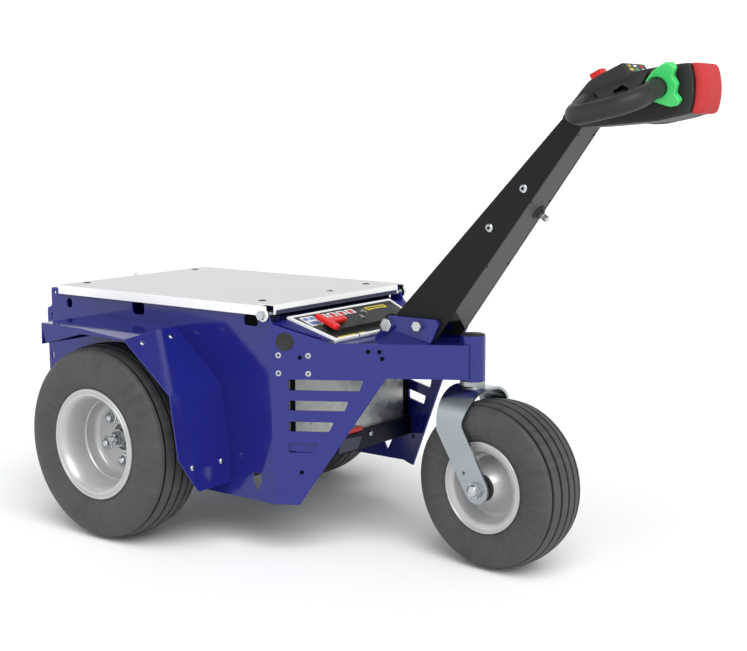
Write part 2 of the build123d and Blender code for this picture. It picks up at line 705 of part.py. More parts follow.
with BuildPart() as castor_axle:
    axle_length = 2 * fork_outer + 2 * NUT_HEIGHT
    with BuildSketch(Plane(origin=castor_centre, x_dir=castor_ahead, z_dir=castor_axle_way)):
        Circle(CASTOR_AXLE_R)
    extrude(amount=axle_length / 2, both=True)
    for way in (1, -1):
        spacer_start = castor_centre + castor_axle_way * way * (CASTOR_HUB_HALF + PIN_PLAY)
        nut_start = castor_centre + castor_axle_way * way * fork_outer
        with BuildSketch(Plane(origin=spacer_start, x_dir=castor_ahead, z_dir=castor_axle_way * way)):
            Circle(CASTOR_SPACER_R)
        extrude(amount=FORK_INNER - CASTOR_HUB_HALF - PIN_PLAY - SEAT)
        with BuildSketch(Plane(origin=nut_start, x_dir=castor_ahead, z_dir=castor_axle_way * way)):
            RegularPolygon(CASTOR_NUT_R, 6)
        extrude(amount=CASTOR_NUT)
save(castor_axle.part, "castor_axle")

CASTOR_PLANE = wheel_plane(castor_centre, castor_axle_way)
with BuildPart() as castor_tyre:
    with BuildSketch(CASTOR_PLANE):
        castor_bead_half = CASTOR_RIM_HALF - RIM_SHEET - SEAT
        castor_bead = CASTOR_FLANGE_R + SEAT
        add(tyre_section(CASTOR_WIDTH, CASTOR_R, CASTOR_SEAT_R + SEAT, castor_bead, castor_bead_half))
    revolve(axis=castor_axis)
save(castor_tyre.part, "castor_tyre")

# Right half of the castor rim's section, from its flange to the hub bore: distance along the axle, radius
CASTOR_RIM_LINE = (
    (CASTOR_RIM_HALF - RIM_SHEET, CASTOR_SEAT_R), (CASTOR_RIM_HALF - RIM_SHEET, CASTOR_FLANGE_R),
    (CASTOR_RIM_HALF, CASTOR_FLANGE_R), (CASTOR_RIM_HALF, 76), (48, 69), (20, 64), (15, 56), (23, 46),
    (38, 36), (46, 30), (CASTOR_HUB_HALF, CASTOR_HUB_R), (CASTOR_HUB_HALF, CASTOR_AXLE_R + PIN_PLAY),
)
with BuildPart() as castor_rim:
    with BuildSketch(CASTOR_PLANE):
        with BuildLine():
            left_line = [(-along, radius) for along, radius in reversed(CASTOR_RIM_LINE)]
            Polyline(*CASTOR_RIM_LINE, *left_line, close=True)
        make_face()
    revolve(axis=castor_axis)
save(castor_rim.part, "castor_rim")

# Deck lid: folded sheet with ears round the hinge bolts
notch_side = DECK_HALF - DECK_SHEET - NOTCH_LENGTH / 2 + NOTCH_PLAY
with BuildPart() as deck_lid:
    with BuildSketch(level_plane(DECK_TOP)):
        with Locations(((DECK_REAR + DECK_FRONT) / 2, 0)):
            Rectangle(DECK_FRONT - DECK_REAR, 2 * DECK_HALF)
    extrude(amount=-DECK_LIP)
    fillet(deck_lid.edges().group_by(Axis.Z)[-1], DECK_SHEET)
    with BuildSketch(level_plane(DECK_TOP - DECK_SHEET)):
        with Locations(((DECK_REAR + DECK_FRONT) / 2, 0)):
            Rectangle(DECK_FRONT - DECK_REAR - 2 * DECK_SHEET, 2 * (DECK_HALF - DECK_SHEET))
    extrude(amount=-DECK_LIP, mode=Mode.SUBTRACT)
    with BuildSketch(level_plane(DECK_TOP)):
        for side in (-1, 1):
            with Locations((DECK_FRONT - NOTCH_LENGTH / 2, side * notch_side)):
                Rectangle(NOTCH_LENGTH, NOTCH_LENGTH)
            for hole_x in (DECK_HOLE_REAR, DECK_HOLE_FRONT):
                with Locations((hole_x, side * DECK_HOLE_SIDE)):
                    Circle(DECK_HOLE_R)
    extrude(amount=-DECK_LIP, mode=Mode.SUBTRACT)
    with BuildSketch(level_plane(DECK_TOP - DECK_SHEET)):
        for side in (-1, 1):
            with Locations((DECK_REAR + DECK_SHEET / 2, side * notch_side)):
                Rectangle(DECK_SHEET, NOTCH_LENGTH)
    extrude(amount=-DECK_LIP, mode=Mode.SUBTRACT)
    for ear_y in (DECK_HALF, DECK_SHEET - DECK_HALF):
        with BuildSketch(side_plane(ear_y)):
            with Locations((HINGE_X, HINGE_Z)):
                Circle(HINGE_EAR_R)
        extrude(amount=DECK_SHEET)
        with BuildSketch(side_plane(ear_y)):
            with Locations((HINGE_X, HINGE_Z)):
                Circle(HINGE_BOLT_R + PIN_PLAY)
        extrude(amount=DECK_SHEET, mode=Mode.SUBTRACT)
save(deck_lid.part, "deck_lid")

with BuildPart() as hinge_bolt:
    collar_length = DECK_HALF - DECK_SHEET - SIDE_FACE - 2 * SEAT
    with BuildSketch(side_plane(-SIDE_FACE + 2 * NUT_HEIGHT)):
        with Locations((HINGE_X, HINGE_Z)):
            Circle(HINGE_BOLT_R)
    extrude(amount=DECK_HALF + PIN_PLAY - SIDE_FACE + 2 * NUT_HEIGHT)
    with BuildSketch(side_plane(-SIDE_FACE - SEAT)):
        with Locations((HINGE_X, HINGE_Z)):
            Circle(HINGE_COLLAR_R)
    extrude(amount=collar_length)
    with BuildSketch(side_plane(-DECK_HALF - PIN_PLAY)):
        with Locations((HINGE_X, HINGE_Z)):
            RegularPolygon(NUT_R, 6)
    extrude(amount=HINGE_HEAD)
save_pair(hinge_bolt.part, "hinge_bolt")

# Tiller bracket on the top plate, with its pivot and lock bolts
with BuildPart() as tiller_bracket:
    for cheek_y in (-BRACKET_IN, BRACKET_IN + BRACKET_SHEET):
        with BuildSketch(side_plane(cheek_y)) as cheek:
            with BuildLine():
                Polyline(
                    (BRACKET_TAIL, TOP_PLATE_Z), (PIVOT_X, BRACKET_TOP), (BRACKET_NOSE, BRACKET_TOP),
                    (BRACKET_FOOT, TOP_PLATE_Z), close=True,
                )
            make_face()
            fillet(cheek.vertices().group_by(Axis.Y)[-1], BRACKET_CORNER_R)
            with Locations((PIVOT_X, PIVOT_Z)):
                Circle(PIVOT_R + SEAT, mode=Mode.SUBTRACT)
            with Locations((LOCK_X, LOCK_Z)):
                Circle(LOCK_R + SEAT, mode=Mode.SUBTRACT)
        extrude(amount=BRACKET_SHEET)
save(tiller_bracket.part, "tiller_bracket")

cheek_face = BRACKET_IN + BRACKET_SHEET
# Bolts across the bracket: name, x, z, shank radius, head radius
for bolt_name, bolt_x, bolt_z, shank_r, head_r in (
    ("tiller_pivot", PIVOT_X, PIVOT_Z, PIVOT_R, PIVOT_HEAD_R),
    ("tiller_lock", LOCK_X, LOCK_Z, LOCK_R, LOCK_HEAD_R),
):
    with BuildPart() as bolt:
        with BuildSketch(side_plane(cheek_face)):
            with Locations((bolt_x, bolt_z)):
                Circle(shank_r)
        extrude(amount=2 * cheek_face)
        for head_y, way in ((cheek_face, -1), (-cheek_face, 1)):
            with BuildSketch(side_plane(head_y)):
                with Locations((bolt_x, bolt_z)):
                    RegularPolygon(head_r, 6)
            extrude(amount=way * NUT_HEIGHT)
    save(bolt.part, bolt_name)

# Tiller arm: folded channel, open behind, tapered upwards
arm_rise = (Vector(*ARM_FRONT_HIGH, 0) - Vector(*ARM_FRONT_LOW, 0)).normalized()
arm_back = arm_rise.rotate(Axis.Z, 90)
ARM_FACE_PLANE = Plane(origin=(AXLE_X, 0, 0), x_dir=(0, -1, 0), z_dir=(-1, 0, 0))
arm_face_back = ARM_RECESS + ARM_SHEET
inside_low = Vector(*ARM_FRONT_LOW, 0) + arm_back * arm_face_back - arm_rise * ARM_HALF
inside_high = Vector(*ARM_FRONT_HIGH, 0) + arm_back * arm_face_back + arm_rise * ARM_HALF
arm_foot = (AXLE_X + ARM_FRONT_LOW[0], 0, ARM_FRONT_LOW[1])
eye_bottom = PIVOT_Z - ARM_EYE_R

with BuildPart() as arm_inside:
    with BuildSketch(side_plane(ARM_HALF)):
        with BuildLine():
            Polyline(
                inside_low, inside_high, inside_high + arm_back * 3 * ARM_HALF,
                inside_low + arm_back * 4 * ARM_HALF, close=True,
            )
        make_face()
        with BuildLine():
            recess_low, recess_high = inside_low - arm_back * ARM_SHEET, inside_high - arm_back * ARM_SHEET
            Polyline(
                recess_low, recess_high, recess_high - arm_back * ARM_HALF,
                recess_low - arm_back * ARM_HALF, close=True,
            )
        make_face()
    extrude(amount=2 * ARM_HALF)
    with BuildSketch(Plane(origin=arm_foot, x_dir=(0, -1, 0), z_dir=(-arm_back.X, 0, -arm_back.Y))):
        with BuildLine():
            Polyline(
                (ARM_HALF, -ARM_HALF), (ARM_HALF, ARM_CUT_RIGHT), (-ARM_HALF, ARM_CUT_LEFT),
                (-ARM_HALF, -ARM_HALF), close=True,
            )
        make_face()
    extrude(amount=-ARM_HALF)
    with BuildSketch(ARM_FACE_PLANE):
        wide, narrow = ARM_HALF - ARM_SHEET, ARM_TOP_HALF - ARM_SHEET
        with BuildLine():
            Polyline(
                (-wide, 0), (-wide, PIVOT_Z), (-narrow, ARM_REAR_HIGH[1]), (narrow, ARM_REAR_HIGH[1]),
                (wide, PIVOT_Z), (wide, 0), close=True,
            )
        make_face()
    extrude(amount=-FRONT_REACH, mode=Mode.INTERSECT)

lock_reach = hypot(LOCK_X - PIVOT_X, LOCK_Z - PIVOT_Z)
lock_angle = degrees(atan2(LOCK_Z - PIVOT_Z, LOCK_X - PIVOT_X))
with BuildPart() as tiller_arm:
    with BuildSketch(side_plane(ARM_HALF)):
        with BuildLine():
            Polyline(
                ARM_FRONT_LOW, ARM_FRONT_HIGH, ARM_REAR_HIGH, ARM_REAR_LOW, (PIVOT_X, eye_bottom), close=True
            )
        make_face()
        with Locations((PIVOT_X, PIVOT_Z)):
            Circle(ARM_EYE_R)
    extrude(amount=2 * ARM_HALF)
    with BuildSketch(ARM_FACE_PLANE):
        with BuildLine():
            Polyline(
                (-ARM_HALF, 0), (-ARM_HALF, PIVOT_Z), (-ARM_TOP_HALF, ARM_REAR_HIGH[1]),
                (ARM_TOP_HALF, ARM_REAR_HIGH[1]), (ARM_HALF, PIVOT_Z), (ARM_HALF, 0), close=True,
            )
        make_face()
    extrude(amount=-FRONT_REACH, mode=Mode.INTERSECT)
    add(arm_inside.part, mode=Mode.SUBTRACT)
    with BuildSketch(side_plane(BRACKET_IN - SEAT)):
        with Locations((PIVOT_X, PIVOT_Z)):
            Circle(PIVOT_R + ARM_SHEET)
    extrude(amount=2 * (BRACKET_IN - SEAT))
    with BuildSketch(side_plane(BRACKET_IN)):
        with Locations((PIVOT_X, PIVOT_Z)):
            Circle(PIVOT_R + PIN_PLAY)
        with BuildLine(mode=Mode.PRIVATE) as lock_arc:
            slot_start = lock_angle - TILT_RANGE - SLOT_SPARE
            CenterArc((PIVOT_X, PIVOT_Z), lock_reach, slot_start, TILT_RANGE + 2 * SLOT_SPARE)
        SlotArc(lock_arc.edge(), 2 * (LOCK_R + PIN_PLAY))
    extrude(amount=2 * BRACKET_IN, mode=Mode.SUBTRACT)
save(tiller_arm.part, "tiller_arm")

# Tiller head: moulded body with a ring grip on each side
GRIP_PLANE = Plane(
    origin=(AXLE_X + GRIP_MID, -HEAD_HALF, GRIP_HUB_Z), x_dir=(1, 0, GRIP_RISE),
    z_dir=(GRIP_RISE, GRIP_FALL, -1),
)
with BuildPart() as ring_grip:
    with BuildLine(GRIP_PLANE) as grip_line:
        FilletPolyline(
            (GRIP_FRONT - GRIP_MID, -GRIP_ROOT), (GRIP_FRONT - GRIP_MID, GRIP_SIDE - HEAD_HALF),
            (GRIP_REAR - GRIP_MID, GRIP_SIDE - HEAD_HALF), (GRIP_TAIL - GRIP_MID, -GRIP_ROOT),
            radius=GRIP_BEND_R,
        )
    grip_start = grip_line.wires()[0] @ 0
    grip_way = grip_line.wires()[0] % 0
    with BuildSketch(Plane(origin=grip_start, z_dir=grip_way)):
        Circle(GRIP_R)
    sweep()

head_top = [(HEAD_NOSE_X - run, height) for run, height in HEAD_TOP_LINE]
head_under = [(HEAD_NOSE_X - run, height) for run, height in HEAD_UNDER_LINE]
with BuildPart() as tiller_head:
    with BuildSketch(side_plane(HEAD_HALF)):
        with BuildLine():
            ThreePointArc(head_under[-1], (HEAD_NOSE_X, NOSE_Z), head_top[0])
            Polyline(*head_top, ARM_REAR_HIGH, ARM_FRONT_HIGH, *head_under)
        make_face()
    extrude(amount=2 * HEAD_HALF)
    fillet(tiller_head.edges().filter_by(Axis.Y).group_by(Axis.Z)[0], HEAD_EDGE_R)
    with BuildSketch(GRIP_PLANE):
        with BuildLine():
            Polyline(
                (WEB_FRONT - GRIP_MID, -GRIP_ROOT), (WEB_FRONT - GRIP_MID, WEB_REACH),
                (GRIP_REAR - GRIP_MID, WEB_REACH), (GRIP_TAIL - GRIP_MID, -GRIP_ROOT), close=True,
            )
        make_face()
    extrude(amount=WEB_SHEET / 2, both=True)
    add(ring_grip.part)
    mirror(about=Plane.XZ)
save(tiller_head.part, "tiller_head")

with BuildPart() as throttle_paddle:
    paddle_seat = grip_start + grip_way * PADDLE_START
    with BuildSketch(Plane(origin=paddle_seat, x_dir=(1, 0, 0), z_dir=grip_way)) as wings:
        with BuildLine():
            Polyline(*PADDLE_LINE, close=True)
        make_face()
        fillet(wings.vertices(), PADDLE_TIP_R)
        Circle(GRIP_R + PIN_PLAY + PADDLE_WALL)
        Circle(GRIP_R + PIN_PLAY, mode=Mode.SUBTRACT)
    extrude(amount=PADDLE_WIDTH)
save_pair(throttle_paddle.part, "throttle_paddle")

with BuildPart() as belly_button:
    with BuildSketch(side_plane(BUTTON_HALF)):
        with BuildLine():
            low, high = (Vector(x + SEAT, z, 0) for x, z in (head_under[-1], head_top[0]))
            reach = Vector(FRONT_REACH - HEAD_NOSE_X - SEAT, 0, 0)
            ThreePointArc(low, (HEAD_NOSE_X + SEAT, NOSE_Z), high)
            Line(high, high + reach)
            ThreePointArc(high + reach, (FRONT_REACH, NOSE_Z), low + reach)
            Line(low + reach, low)
        make_face()
    extrude(amount=2 * BUTTON_HALF)
    fillet(belly_button.faces().sort_by(Axis.X)[-1].edges(), BUTTON_EDGE_R)
save(belly_button.part, "belly_button")

# Display on the head's steep face, and the horn tab behind its crest
face_foot, crest, nape, neck = (Vector(*point, 0) for point in head_top[3:7])
face_way, nape_way = (crest - face_foot).normalized(), (neck - nape).normalized()
display_middle = (face_foot + crest) / 2
DISPLAY_PLANE = Plane(
    origin=(AXLE_X + display_middle.X, 0, display_middle.Y), x_dir=(face_way.X, 0, face_way.Y),
    z_dir=(face_way.Y, 0, -face_way.X),
)
with BuildPart() as head_display:
    with BuildSketch(DISPLAY_PLANE):
        display_length = (crest - face_foot).length - 2 * DISPLAY_MARGIN
        Rectangle(display_length, 2 * (HEAD_HALF - DISPLAY_MARGIN))
    extrude(amount=DISPLAY_HEIGHT)
save(head_display.part, "head_display")

horn_seat = nape + nape_way * HORN_DOWN
HORN_PLANE = Plane(
    origin=(AXLE_X + horn_seat.X, 0, horn_seat.Y), x_dir=(nape_way.X, 0, nape_way.Y),
    z_dir=(nape_way.Y, 0, -nape_way.X),
)
with BuildPart() as horn_tab:
    with BuildSketch(HORN_PLANE):
        RectangleRounded(HORN_LENGTH, HORN_WIDTH, HORN_LENGTH / 5)
    extrude(amount=HORN_HEIGHT)
save(horn_tab.part, "horn_tab")

# Latch knob on the arm's front face
knob_seat = Vector(*ARM_FRONT_LOW, 0) + arm_rise * KNOB_UP + arm_back * ARM_RECESS
with BuildPart() as arm_knob:
    knob_centre = (AXLE_X + knob_seat.X, KNOB_Y, knob_seat.Y)
    with BuildSketch(Plane(origin=knob_centre, x_dir=(0, 1, 0), z_dir=(-arm_back.X, 0, -arm_back.Y))):
        Circle(KNOB_R)
    extrude(amount=KNOB_LENGTH)
save(arm_knob.part, "arm_knob")

# Control panel behind the tiller: sloped plate with a front lip, and the controls on it
PANEL_PLANE = Plane(
    origin=(AXLE_X + PANEL_REAR, 0, PANEL_REAR_Z),
    x_dir=(cos(radians(PANEL_SLOPE)), 0, -sin(radians(PANEL_SLOPE))),
    z_dir=(sin(radians(PANEL_SLOPE)), 0, cos(radians(PANEL_SLOPE))),
)
panel_length = (PANEL_FRONT - PANEL_REAR) / cos(radians(PANEL_SLOPE))
lip_top = PANEL_REAR_Z - panel_length * sin(radians(PANEL_SLOPE)) - SEAT
with BuildPart() as control_panel:
    with BuildSketch(PANEL_PLANE):
        with BuildLine():
            Polyline(
                (0, -PANEL_REAR_HALF), (panel_length, -PANEL_FRONT_HALF), (panel_length, PANEL_FRONT_HALF),
                (0, PANEL_REAR_HALF), close=True,
            )
        make_face()
    extrude(amount=-PANEL_SHEET)
    with BuildSketch(level_plane(lip_top)):
        with Locations((TOP_PLATE_REAR - SEAT - PANEL_SHEET / 2, 0)):
            Rectangle(PANEL_SHEET, 2 * PANEL_FRONT_HALF)
    extrude(amount=-PANEL_LIP)
save(control_panel.part, "control_panel")

# Cover under the panel, out to the side plates
with BuildPart() as panel_cover:
    with BuildSketch(PANEL_PLANE.offset(-PANEL_SHEET)):
        with BuildLine():
            cover_start, cover_end = (
                (x - PANEL_REAR) / cos(radians(PANEL_SLOPE)) for x in (FOLD_X, COVER_FRONT)
            )
            Polyline(
                (cover_start, -inner_half(FOLD_X)), (cover_end, -inner_half(COVER_FRONT)),
                (cover_end, inner_half(COVER_FRONT)), (cover_start, inner_half(FOLD_X)), close=True,
            )
        make_face()
    extrude(amount=-COVER_SHEET)
save(panel_cover.part, "panel_cover")

console_length = (CONSOLE_FRONT - CONSOLE_REAR) / cos(radians(PANEL_SLOPE))
console_middle = (CONSOLE_REAR - PANEL_REAR) / cos(radians(PANEL_SLOPE)) + console_length / 2
with BuildPart() as console:
    with BuildSketch(PANEL_PLANE):
        with Locations((console_middle, 0)):
            RectangleRounded(console_length, 2 * CONSOLE_HALF, CONSOLE_CORNER_R)
    extrude(amount=CONSOLE_HEIGHT)
save(console.part, "console")

with BuildPart() as isolator_handle:
    with BuildSketch(PANEL_PLANE.offset(CONSOLE_HEIGHT)):
        with Locations((console_middle, ISOLATOR_Y + ISOLATOR_STEM / 2)):
            Circle(ISOLATOR_POST_R)
    extrude(amount=ISOLATOR_RISE)
    with BuildSketch(PANEL_PLANE.offset(CONSOLE_HEIGHT + ISOLATOR_RISE)):
        with Locations((console_middle, ISOLATOR_Y)):
            SlotOverall(ISOLATOR_SPAN, 2 * ISOLATOR_R)
        with Locations((console_middle, ISOLATOR_Y + ISOLATOR_STEM / 2 - ISOLATOR_R)):
            SlotOverall(ISOLATOR_STEM, 2 * ISOLATOR_R, rotation=90)
    extrude(amount=ISOLATOR_HEIGHT)
save(isolator_handle.part, "isolator_handle")

with BuildPart() as key_switch:
    with BuildSketch(PANEL_PLANE.offset(CONSOLE_HEIGHT)):
        with Locations((console_middle, KEY_Y)):
            Circle(KEY_R)
    extrude(amount=KEY_HEIGHT)
    with BuildSketch(PANEL_PLANE.offset(CONSOLE_HEIGHT + KEY_HEIGHT)):
        with Locations((console_middle, KEY_Y)):
            Rectangle(2 * KEY_R, KEY_SHEET)
    extrude(amount=3 * KEY_HEIGHT)
save(key_switch.part, "key_switch")
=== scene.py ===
"""Dressed model of an electric pedestrian tow tractor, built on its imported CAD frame.

Sizes are millimetres. In tables, x is the distance ahead of the rear axle, y is to the left, z is up.
"""

import logging
from collections.abc import Iterator, Sequence
from dataclasses import dataclass, field
from enum import Enum
from math import cos, pi, radians, sin

import bmesh
import bpy
from mathutils import Matrix, Vector


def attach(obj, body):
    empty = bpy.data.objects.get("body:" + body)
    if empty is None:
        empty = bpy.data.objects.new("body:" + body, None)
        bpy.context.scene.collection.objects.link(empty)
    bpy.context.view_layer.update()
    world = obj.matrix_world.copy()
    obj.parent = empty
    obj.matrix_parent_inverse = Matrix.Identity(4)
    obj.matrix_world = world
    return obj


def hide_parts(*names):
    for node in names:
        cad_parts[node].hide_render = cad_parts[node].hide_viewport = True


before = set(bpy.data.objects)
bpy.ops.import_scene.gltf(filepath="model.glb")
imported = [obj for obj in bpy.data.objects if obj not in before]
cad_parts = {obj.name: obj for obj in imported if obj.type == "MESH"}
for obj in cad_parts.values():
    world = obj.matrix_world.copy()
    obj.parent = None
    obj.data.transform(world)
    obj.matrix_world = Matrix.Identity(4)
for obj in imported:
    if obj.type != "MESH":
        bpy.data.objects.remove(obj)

bpy.context.view_layer.update()

LOG = logging.getLogger("tow_tractor")
MM = 0.001
AXLE_X = -393.5
AHEAD, LEFT, UP = Vector((1, 0, 0)), Vector((0, 1, 0)), Vector((0, 0, 1))
# Faces that meet at less than this shade as one, and edges past it are broken
SHARP_ANGLE = radians(32)
# Refraction of paint, lacquer and hard plastic, and of rubber
RESIN_IOR = 1.5
RUBBER_IOR = 1.52
# Numbers of a mix node's share, its two colours and its colour result
MIX_SHARE, MIX_LOW, MIX_HIGH, MIX_RESULT = 0, 6, 7, 2
# Corners of a solid's faces closer than this are one
WELD_REACH = 0.01
RIM_SEGMENTS = 128
# Blender's names of the nodes that the finishes use most
NOISE = "ShaderNodeTexNoise"
RANGE = "ShaderNodeMapRange"
MIX = "ShaderNodeMix"
BUMP = "ShaderNodeBump"
MATHS = "ShaderNodeMath"

Point = tuple[float, float]
Place = tuple[float, float, float]
# Height above a turned piece's seat and radius of each of its rings
Profile = Sequence[Point]
Item = bpy.types.Object
Node = bpy.types.Node
Tree = bpy.types.NodeTree
Inputs = dict[int | str, object]


class Body(str, Enum):
    """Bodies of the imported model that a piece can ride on."""

    CHASSIS = "chassis"
    DECK = "deck"
    TILLER = "tiller"
    CASTOR = "castor"
    CASTOR_WHEEL = "castor_wheel"
    WHEEL_RIGHT = "wheel_right"
    WHEEL_LEFT = "wheel_left"


class Side(Enum):
    """Sides of the tractor, with the sign of y on each."""

    RIGHT = -1
    LEFT = 1

    @property
    def label(self) -> str:
        """Give the side's word for piece names."""
        return self.name.lower()


def linear(code: str) -> tuple[float, float, float, float]:
    """Turn an sRGB hex colour into a linear one.

    Args:
        code: The colour as #RRGGBB.

    Returns:
        Linear red, green, blue and an alpha of one.
    """
    parts = [int(code[start:start + 2], 16) / 255 for start in (1, 3, 5)]
    red, green, blue = (p / 12.92 if p <= 0.04045 else ((p + 0.055) / 1.055) ** 2.4 for p in parts)
    return red, green, blue, 1.0


def per_mm(size: float) -> float:
    """Give the texture scale at which one cell of a pattern is this many millimetres across."""
    return 1 / (size * MM)


def fill(node: Node, inputs: Inputs) -> None:
    """Give a node its settings and links.

    Args:
        node: The node.
        inputs: Properties by name, and by input name or number a value, a socket or a node's first output.
    """
    for key, value in inputs.items():
        source = value.outputs[0] if isinstance(value, Node) else value
        if isinstance(source, bpy.types.NodeSocket):
            node.id_data.links.new(source, node.inputs[key])
        elif isinstance(key, int) or key in node.inputs:
            node.inputs[key].default_value = source
        else:
            setattr(node, key, source)


def add_node(tree: Tree, kind: str, inputs: Inputs | None = None) -> Node:
    """Add a node with its settings and links.

    Args:
        tree: The node tree that takes the node.
        kind: Blender's type name of the node.
        inputs: Its settings and links, as fill takes them.

    Returns:
        The new node.
    """
    node = tree.nodes.new(kind)
    fill(node, inputs or {})
    return node


@dataclass(frozen=True)
class Finish:
    """A surface finish of two close tones, which makes its material once."""

    name: str
    colour: str
    shade: str

    def material(self) -> bpy.types.Material:
        """Give the finish's material, made at its first use.

        Returns:
            The material.
        """
        made = bpy.data.materials.get(self.name)
        if made is None:
            made = bpy.data.materials.new(self.name)
            made.use_nodes = True
            space = add_node(made.node_tree, "ShaderNodeTexCoord")
            fill(made.node_tree.nodes["Principled BSDF"], self.lay(made.node_tree, space))
        return made

    def lay(self, tree: Tree, space: Node) -> Inputs:
        """Add the finish's patterns to its new material.

        Args:
            tree: The material's node tree.
            space: The node of the piece's own coordinates.

        Returns:
            What the shader is filled with.
        """
        raise NotImplementedError

    def tone(self, tree: Tree, share: object) -> bpy.types.NodeSocket:
        """Let the colour wander between the finish's two tones.

        Args:
            tree: The material's node tree.
            share: The pattern that it follows: the shade at zero, the colour at one.

        Returns:
            The colour's socket.
        """
        tones = {MIX_LOW: linear(self.shade), MIX_HIGH: linear(self.colour)}
        return add_node(tree, MIX, {"data_type": "RGBA", MIX_SHARE: share, **tones}).outputs[MIX_RESULT]


@dataclass(frozen=True)
class PowderCoat(Finish):
    """Powder-coated steel: an even sprayed film with a faint orange peel that softens reflections."""

    roughness: float
    specular: float = 0.5
    # Real orange peel is about 2 mm across; it is drawn at 5 mm so that it shows
    peel: float = 5.0
    peel_depth: float = 0.02
    peel_strength: float = 0.35
    # Slow change of the film's thickness across a panel, and how far it moves the roughness
    drift: float = 160.0
    gloss: Point = (-0.05, 0.07)
    # Painted highlight: a lighter colour for a sheet's upright faces, such as a deck's lips, where one is
    # given
    lip: str = ""

    def lay(self, tree: Tree, space: Node) -> Inputs:
        """Add drifting tone, uneven gloss, orange peel and, where a lip colour is given, a painted highlight
        on upright faces.

        Args:
            tree: The material's node tree.
            space: The node of the piece's own coordinates.

        Returns:
            What the shader is filled with.
        """
        place = space.outputs["Object"]
        drift = add_node(tree, NOISE, {"Vector": place, "Scale": per_mm(self.drift), "Detail": 3.0})
        peel = add_node(tree, NOISE, {"Vector": place, "Scale": per_mm(self.peel), "Detail": 1.0})
        smooth, rough = (self.roughness + shift for shift in self.gloss)
        depth = {"Strength": self.peel_strength, "Distance": self.peel_depth * MM}
        tone = self.tone(tree, drift)
        # Painted highlight: upright faces take the lip colour, which fades to the coat's tone as they lie
        # flat
        if self.lip:
            rise = add_node(tree, "ShaderNodeSeparateXYZ", {0: space.outputs["Normal"]}).outputs[2]
            lying = add_node(tree, MATHS, {"operation": "ABSOLUTE", 0: rise})
            tones = {MIX_LOW: linear(self.lip), MIX_HIGH: tone}
            tone = add_node(tree, MIX, {"data_type": "RGBA", MIX_SHARE: lying, **tones}).outputs[MIX_RESULT]
        return {
            "IOR": RESIN_IOR,
            "Specular IOR Level": self.specular,
            "Base Color": tone,
            "Roughness": add_node(tree, RANGE, {"Value": drift, "To Min": smooth, "To Max": rough}),
            "Normal": add_node(tree, BUMP, {"Height": peel, **depth}),
        }


@dataclass(frozen=True)
class PlatedSteel(Finish):
    """Zinc- or nickel-plated steel: a metal shine, cloudy from the bath and drawn along the rolling."""

    roughness: float
    # Size of the rolling marks along each axis
    streak: Place = (60.0, 60.0, 3.0)
    cloud: float = 45.0
    gloss: Point = (-0.08, 0.1)

    def lay(self, tree: Tree, space: Node) -> Inputs:
        """Add clouds in the colour and fine streaks in the gloss.

        Args:
            tree: The material's node tree.
            space: The node of the piece's own coordinates.

        Returns:
            What the shader is filled with.
        """
        place = space.outputs["Object"]
        cloud = add_node(tree, NOISE, {"Vector": place, "Scale": per_mm(self.cloud), "Detail": 4.0})
        drawn = add_node(
            tree, "ShaderNodeMapping", {"Vector": place, "Scale": [per_mm(size) for size in self.streak]}
        )
        streak = add_node(tree, NOISE, {"Vector": drawn, "Scale": 1.0, "Detail": 2.0})
        smooth, rough = (self.roughness + shift for shift in self.gloss)
        return {
            "Metallic": 1.0,
            "Base Color": self.tone(tree, cloud),
            "Roughness": add_node(tree, RANGE, {"Value": streak, "To Min": smooth, "To Max": rough}),
        }


@dataclass(frozen=True)
class GalvanisedSheet(Finish):
    """Hot-dip galvanised sheet: flat spangles of zinc crystal, each with its own grey and gloss."""

    metallic: float = 0.85
    spangle: float = 14.0
    gloss: Point = (0.34, 0.52)

    def lay(self, tree: Tree, space: Node) -> Inputs:
        """Add cells the size of the spangles.

        Args:
            tree: The material's node tree.
            space: The node of the piece's own coordinates.

        Returns:
            What the shader is filled with.
        """
        place = space.outputs["Object"]
        cells = add_node(tree, "ShaderNodeTexVoronoi", {"Vector": place, "Scale": per_mm(self.spangle)})
        grey = add_node(tree, "ShaderNodeSeparateColor", {0: cells.outputs["Color"]})
        smooth, rough = self.gloss
        return {
            "Metallic": self.metallic,
            "Base Color": self.tone(tree, grey),
            "Roughness": add_node(tree, RANGE, {"Value": grey, "To Min": smooth, "To Max": rough}),
        }


@dataclass(frozen=True)
class SilverLacquer(Finish):
    """Silver-lacquered steel: fine aluminium flake under a clear coat, so it glints and stays pale."""

    metallic: float = 0.35
    coat: float = 0.5
    coat_roughness: float = 0.1
    # Flake is far below a millimetre; it is drawn at 1.2 mm so that it shows
    flake: float = 1.2
    drift: float = 70.0
    gloss: Point = (0.22, 0.46)

    def lay(self, tree: Tree, space: Node) -> Inputs:
        """Add flake in the gloss and slow drift in the tone.

        Args:
            tree: The material's node tree.
            space: The node of the piece's own coordinates.

        Returns:
            What the shader is filled with.
        """
        place = space.outputs["Object"]
        drift = add_node(tree, NOISE, {"Vector": place, "Scale": per_mm(self.drift), "Detail": 3.0})
        flake = add_node(tree, NOISE, {"Vector": place, "Scale": per_mm(self.flake)})
        smooth, rough = self.gloss
        return {
            "Metallic": self.metallic,
            "Coat Weight": self.coat,
            "Coat Roughness": self.coat_roughness,
            "Base Color": self.tone(tree, drift),
            "Roughness": add_node(tree, RANGE, {"Value": flake, "To Min": smooth, "To Max": rough}),
        }


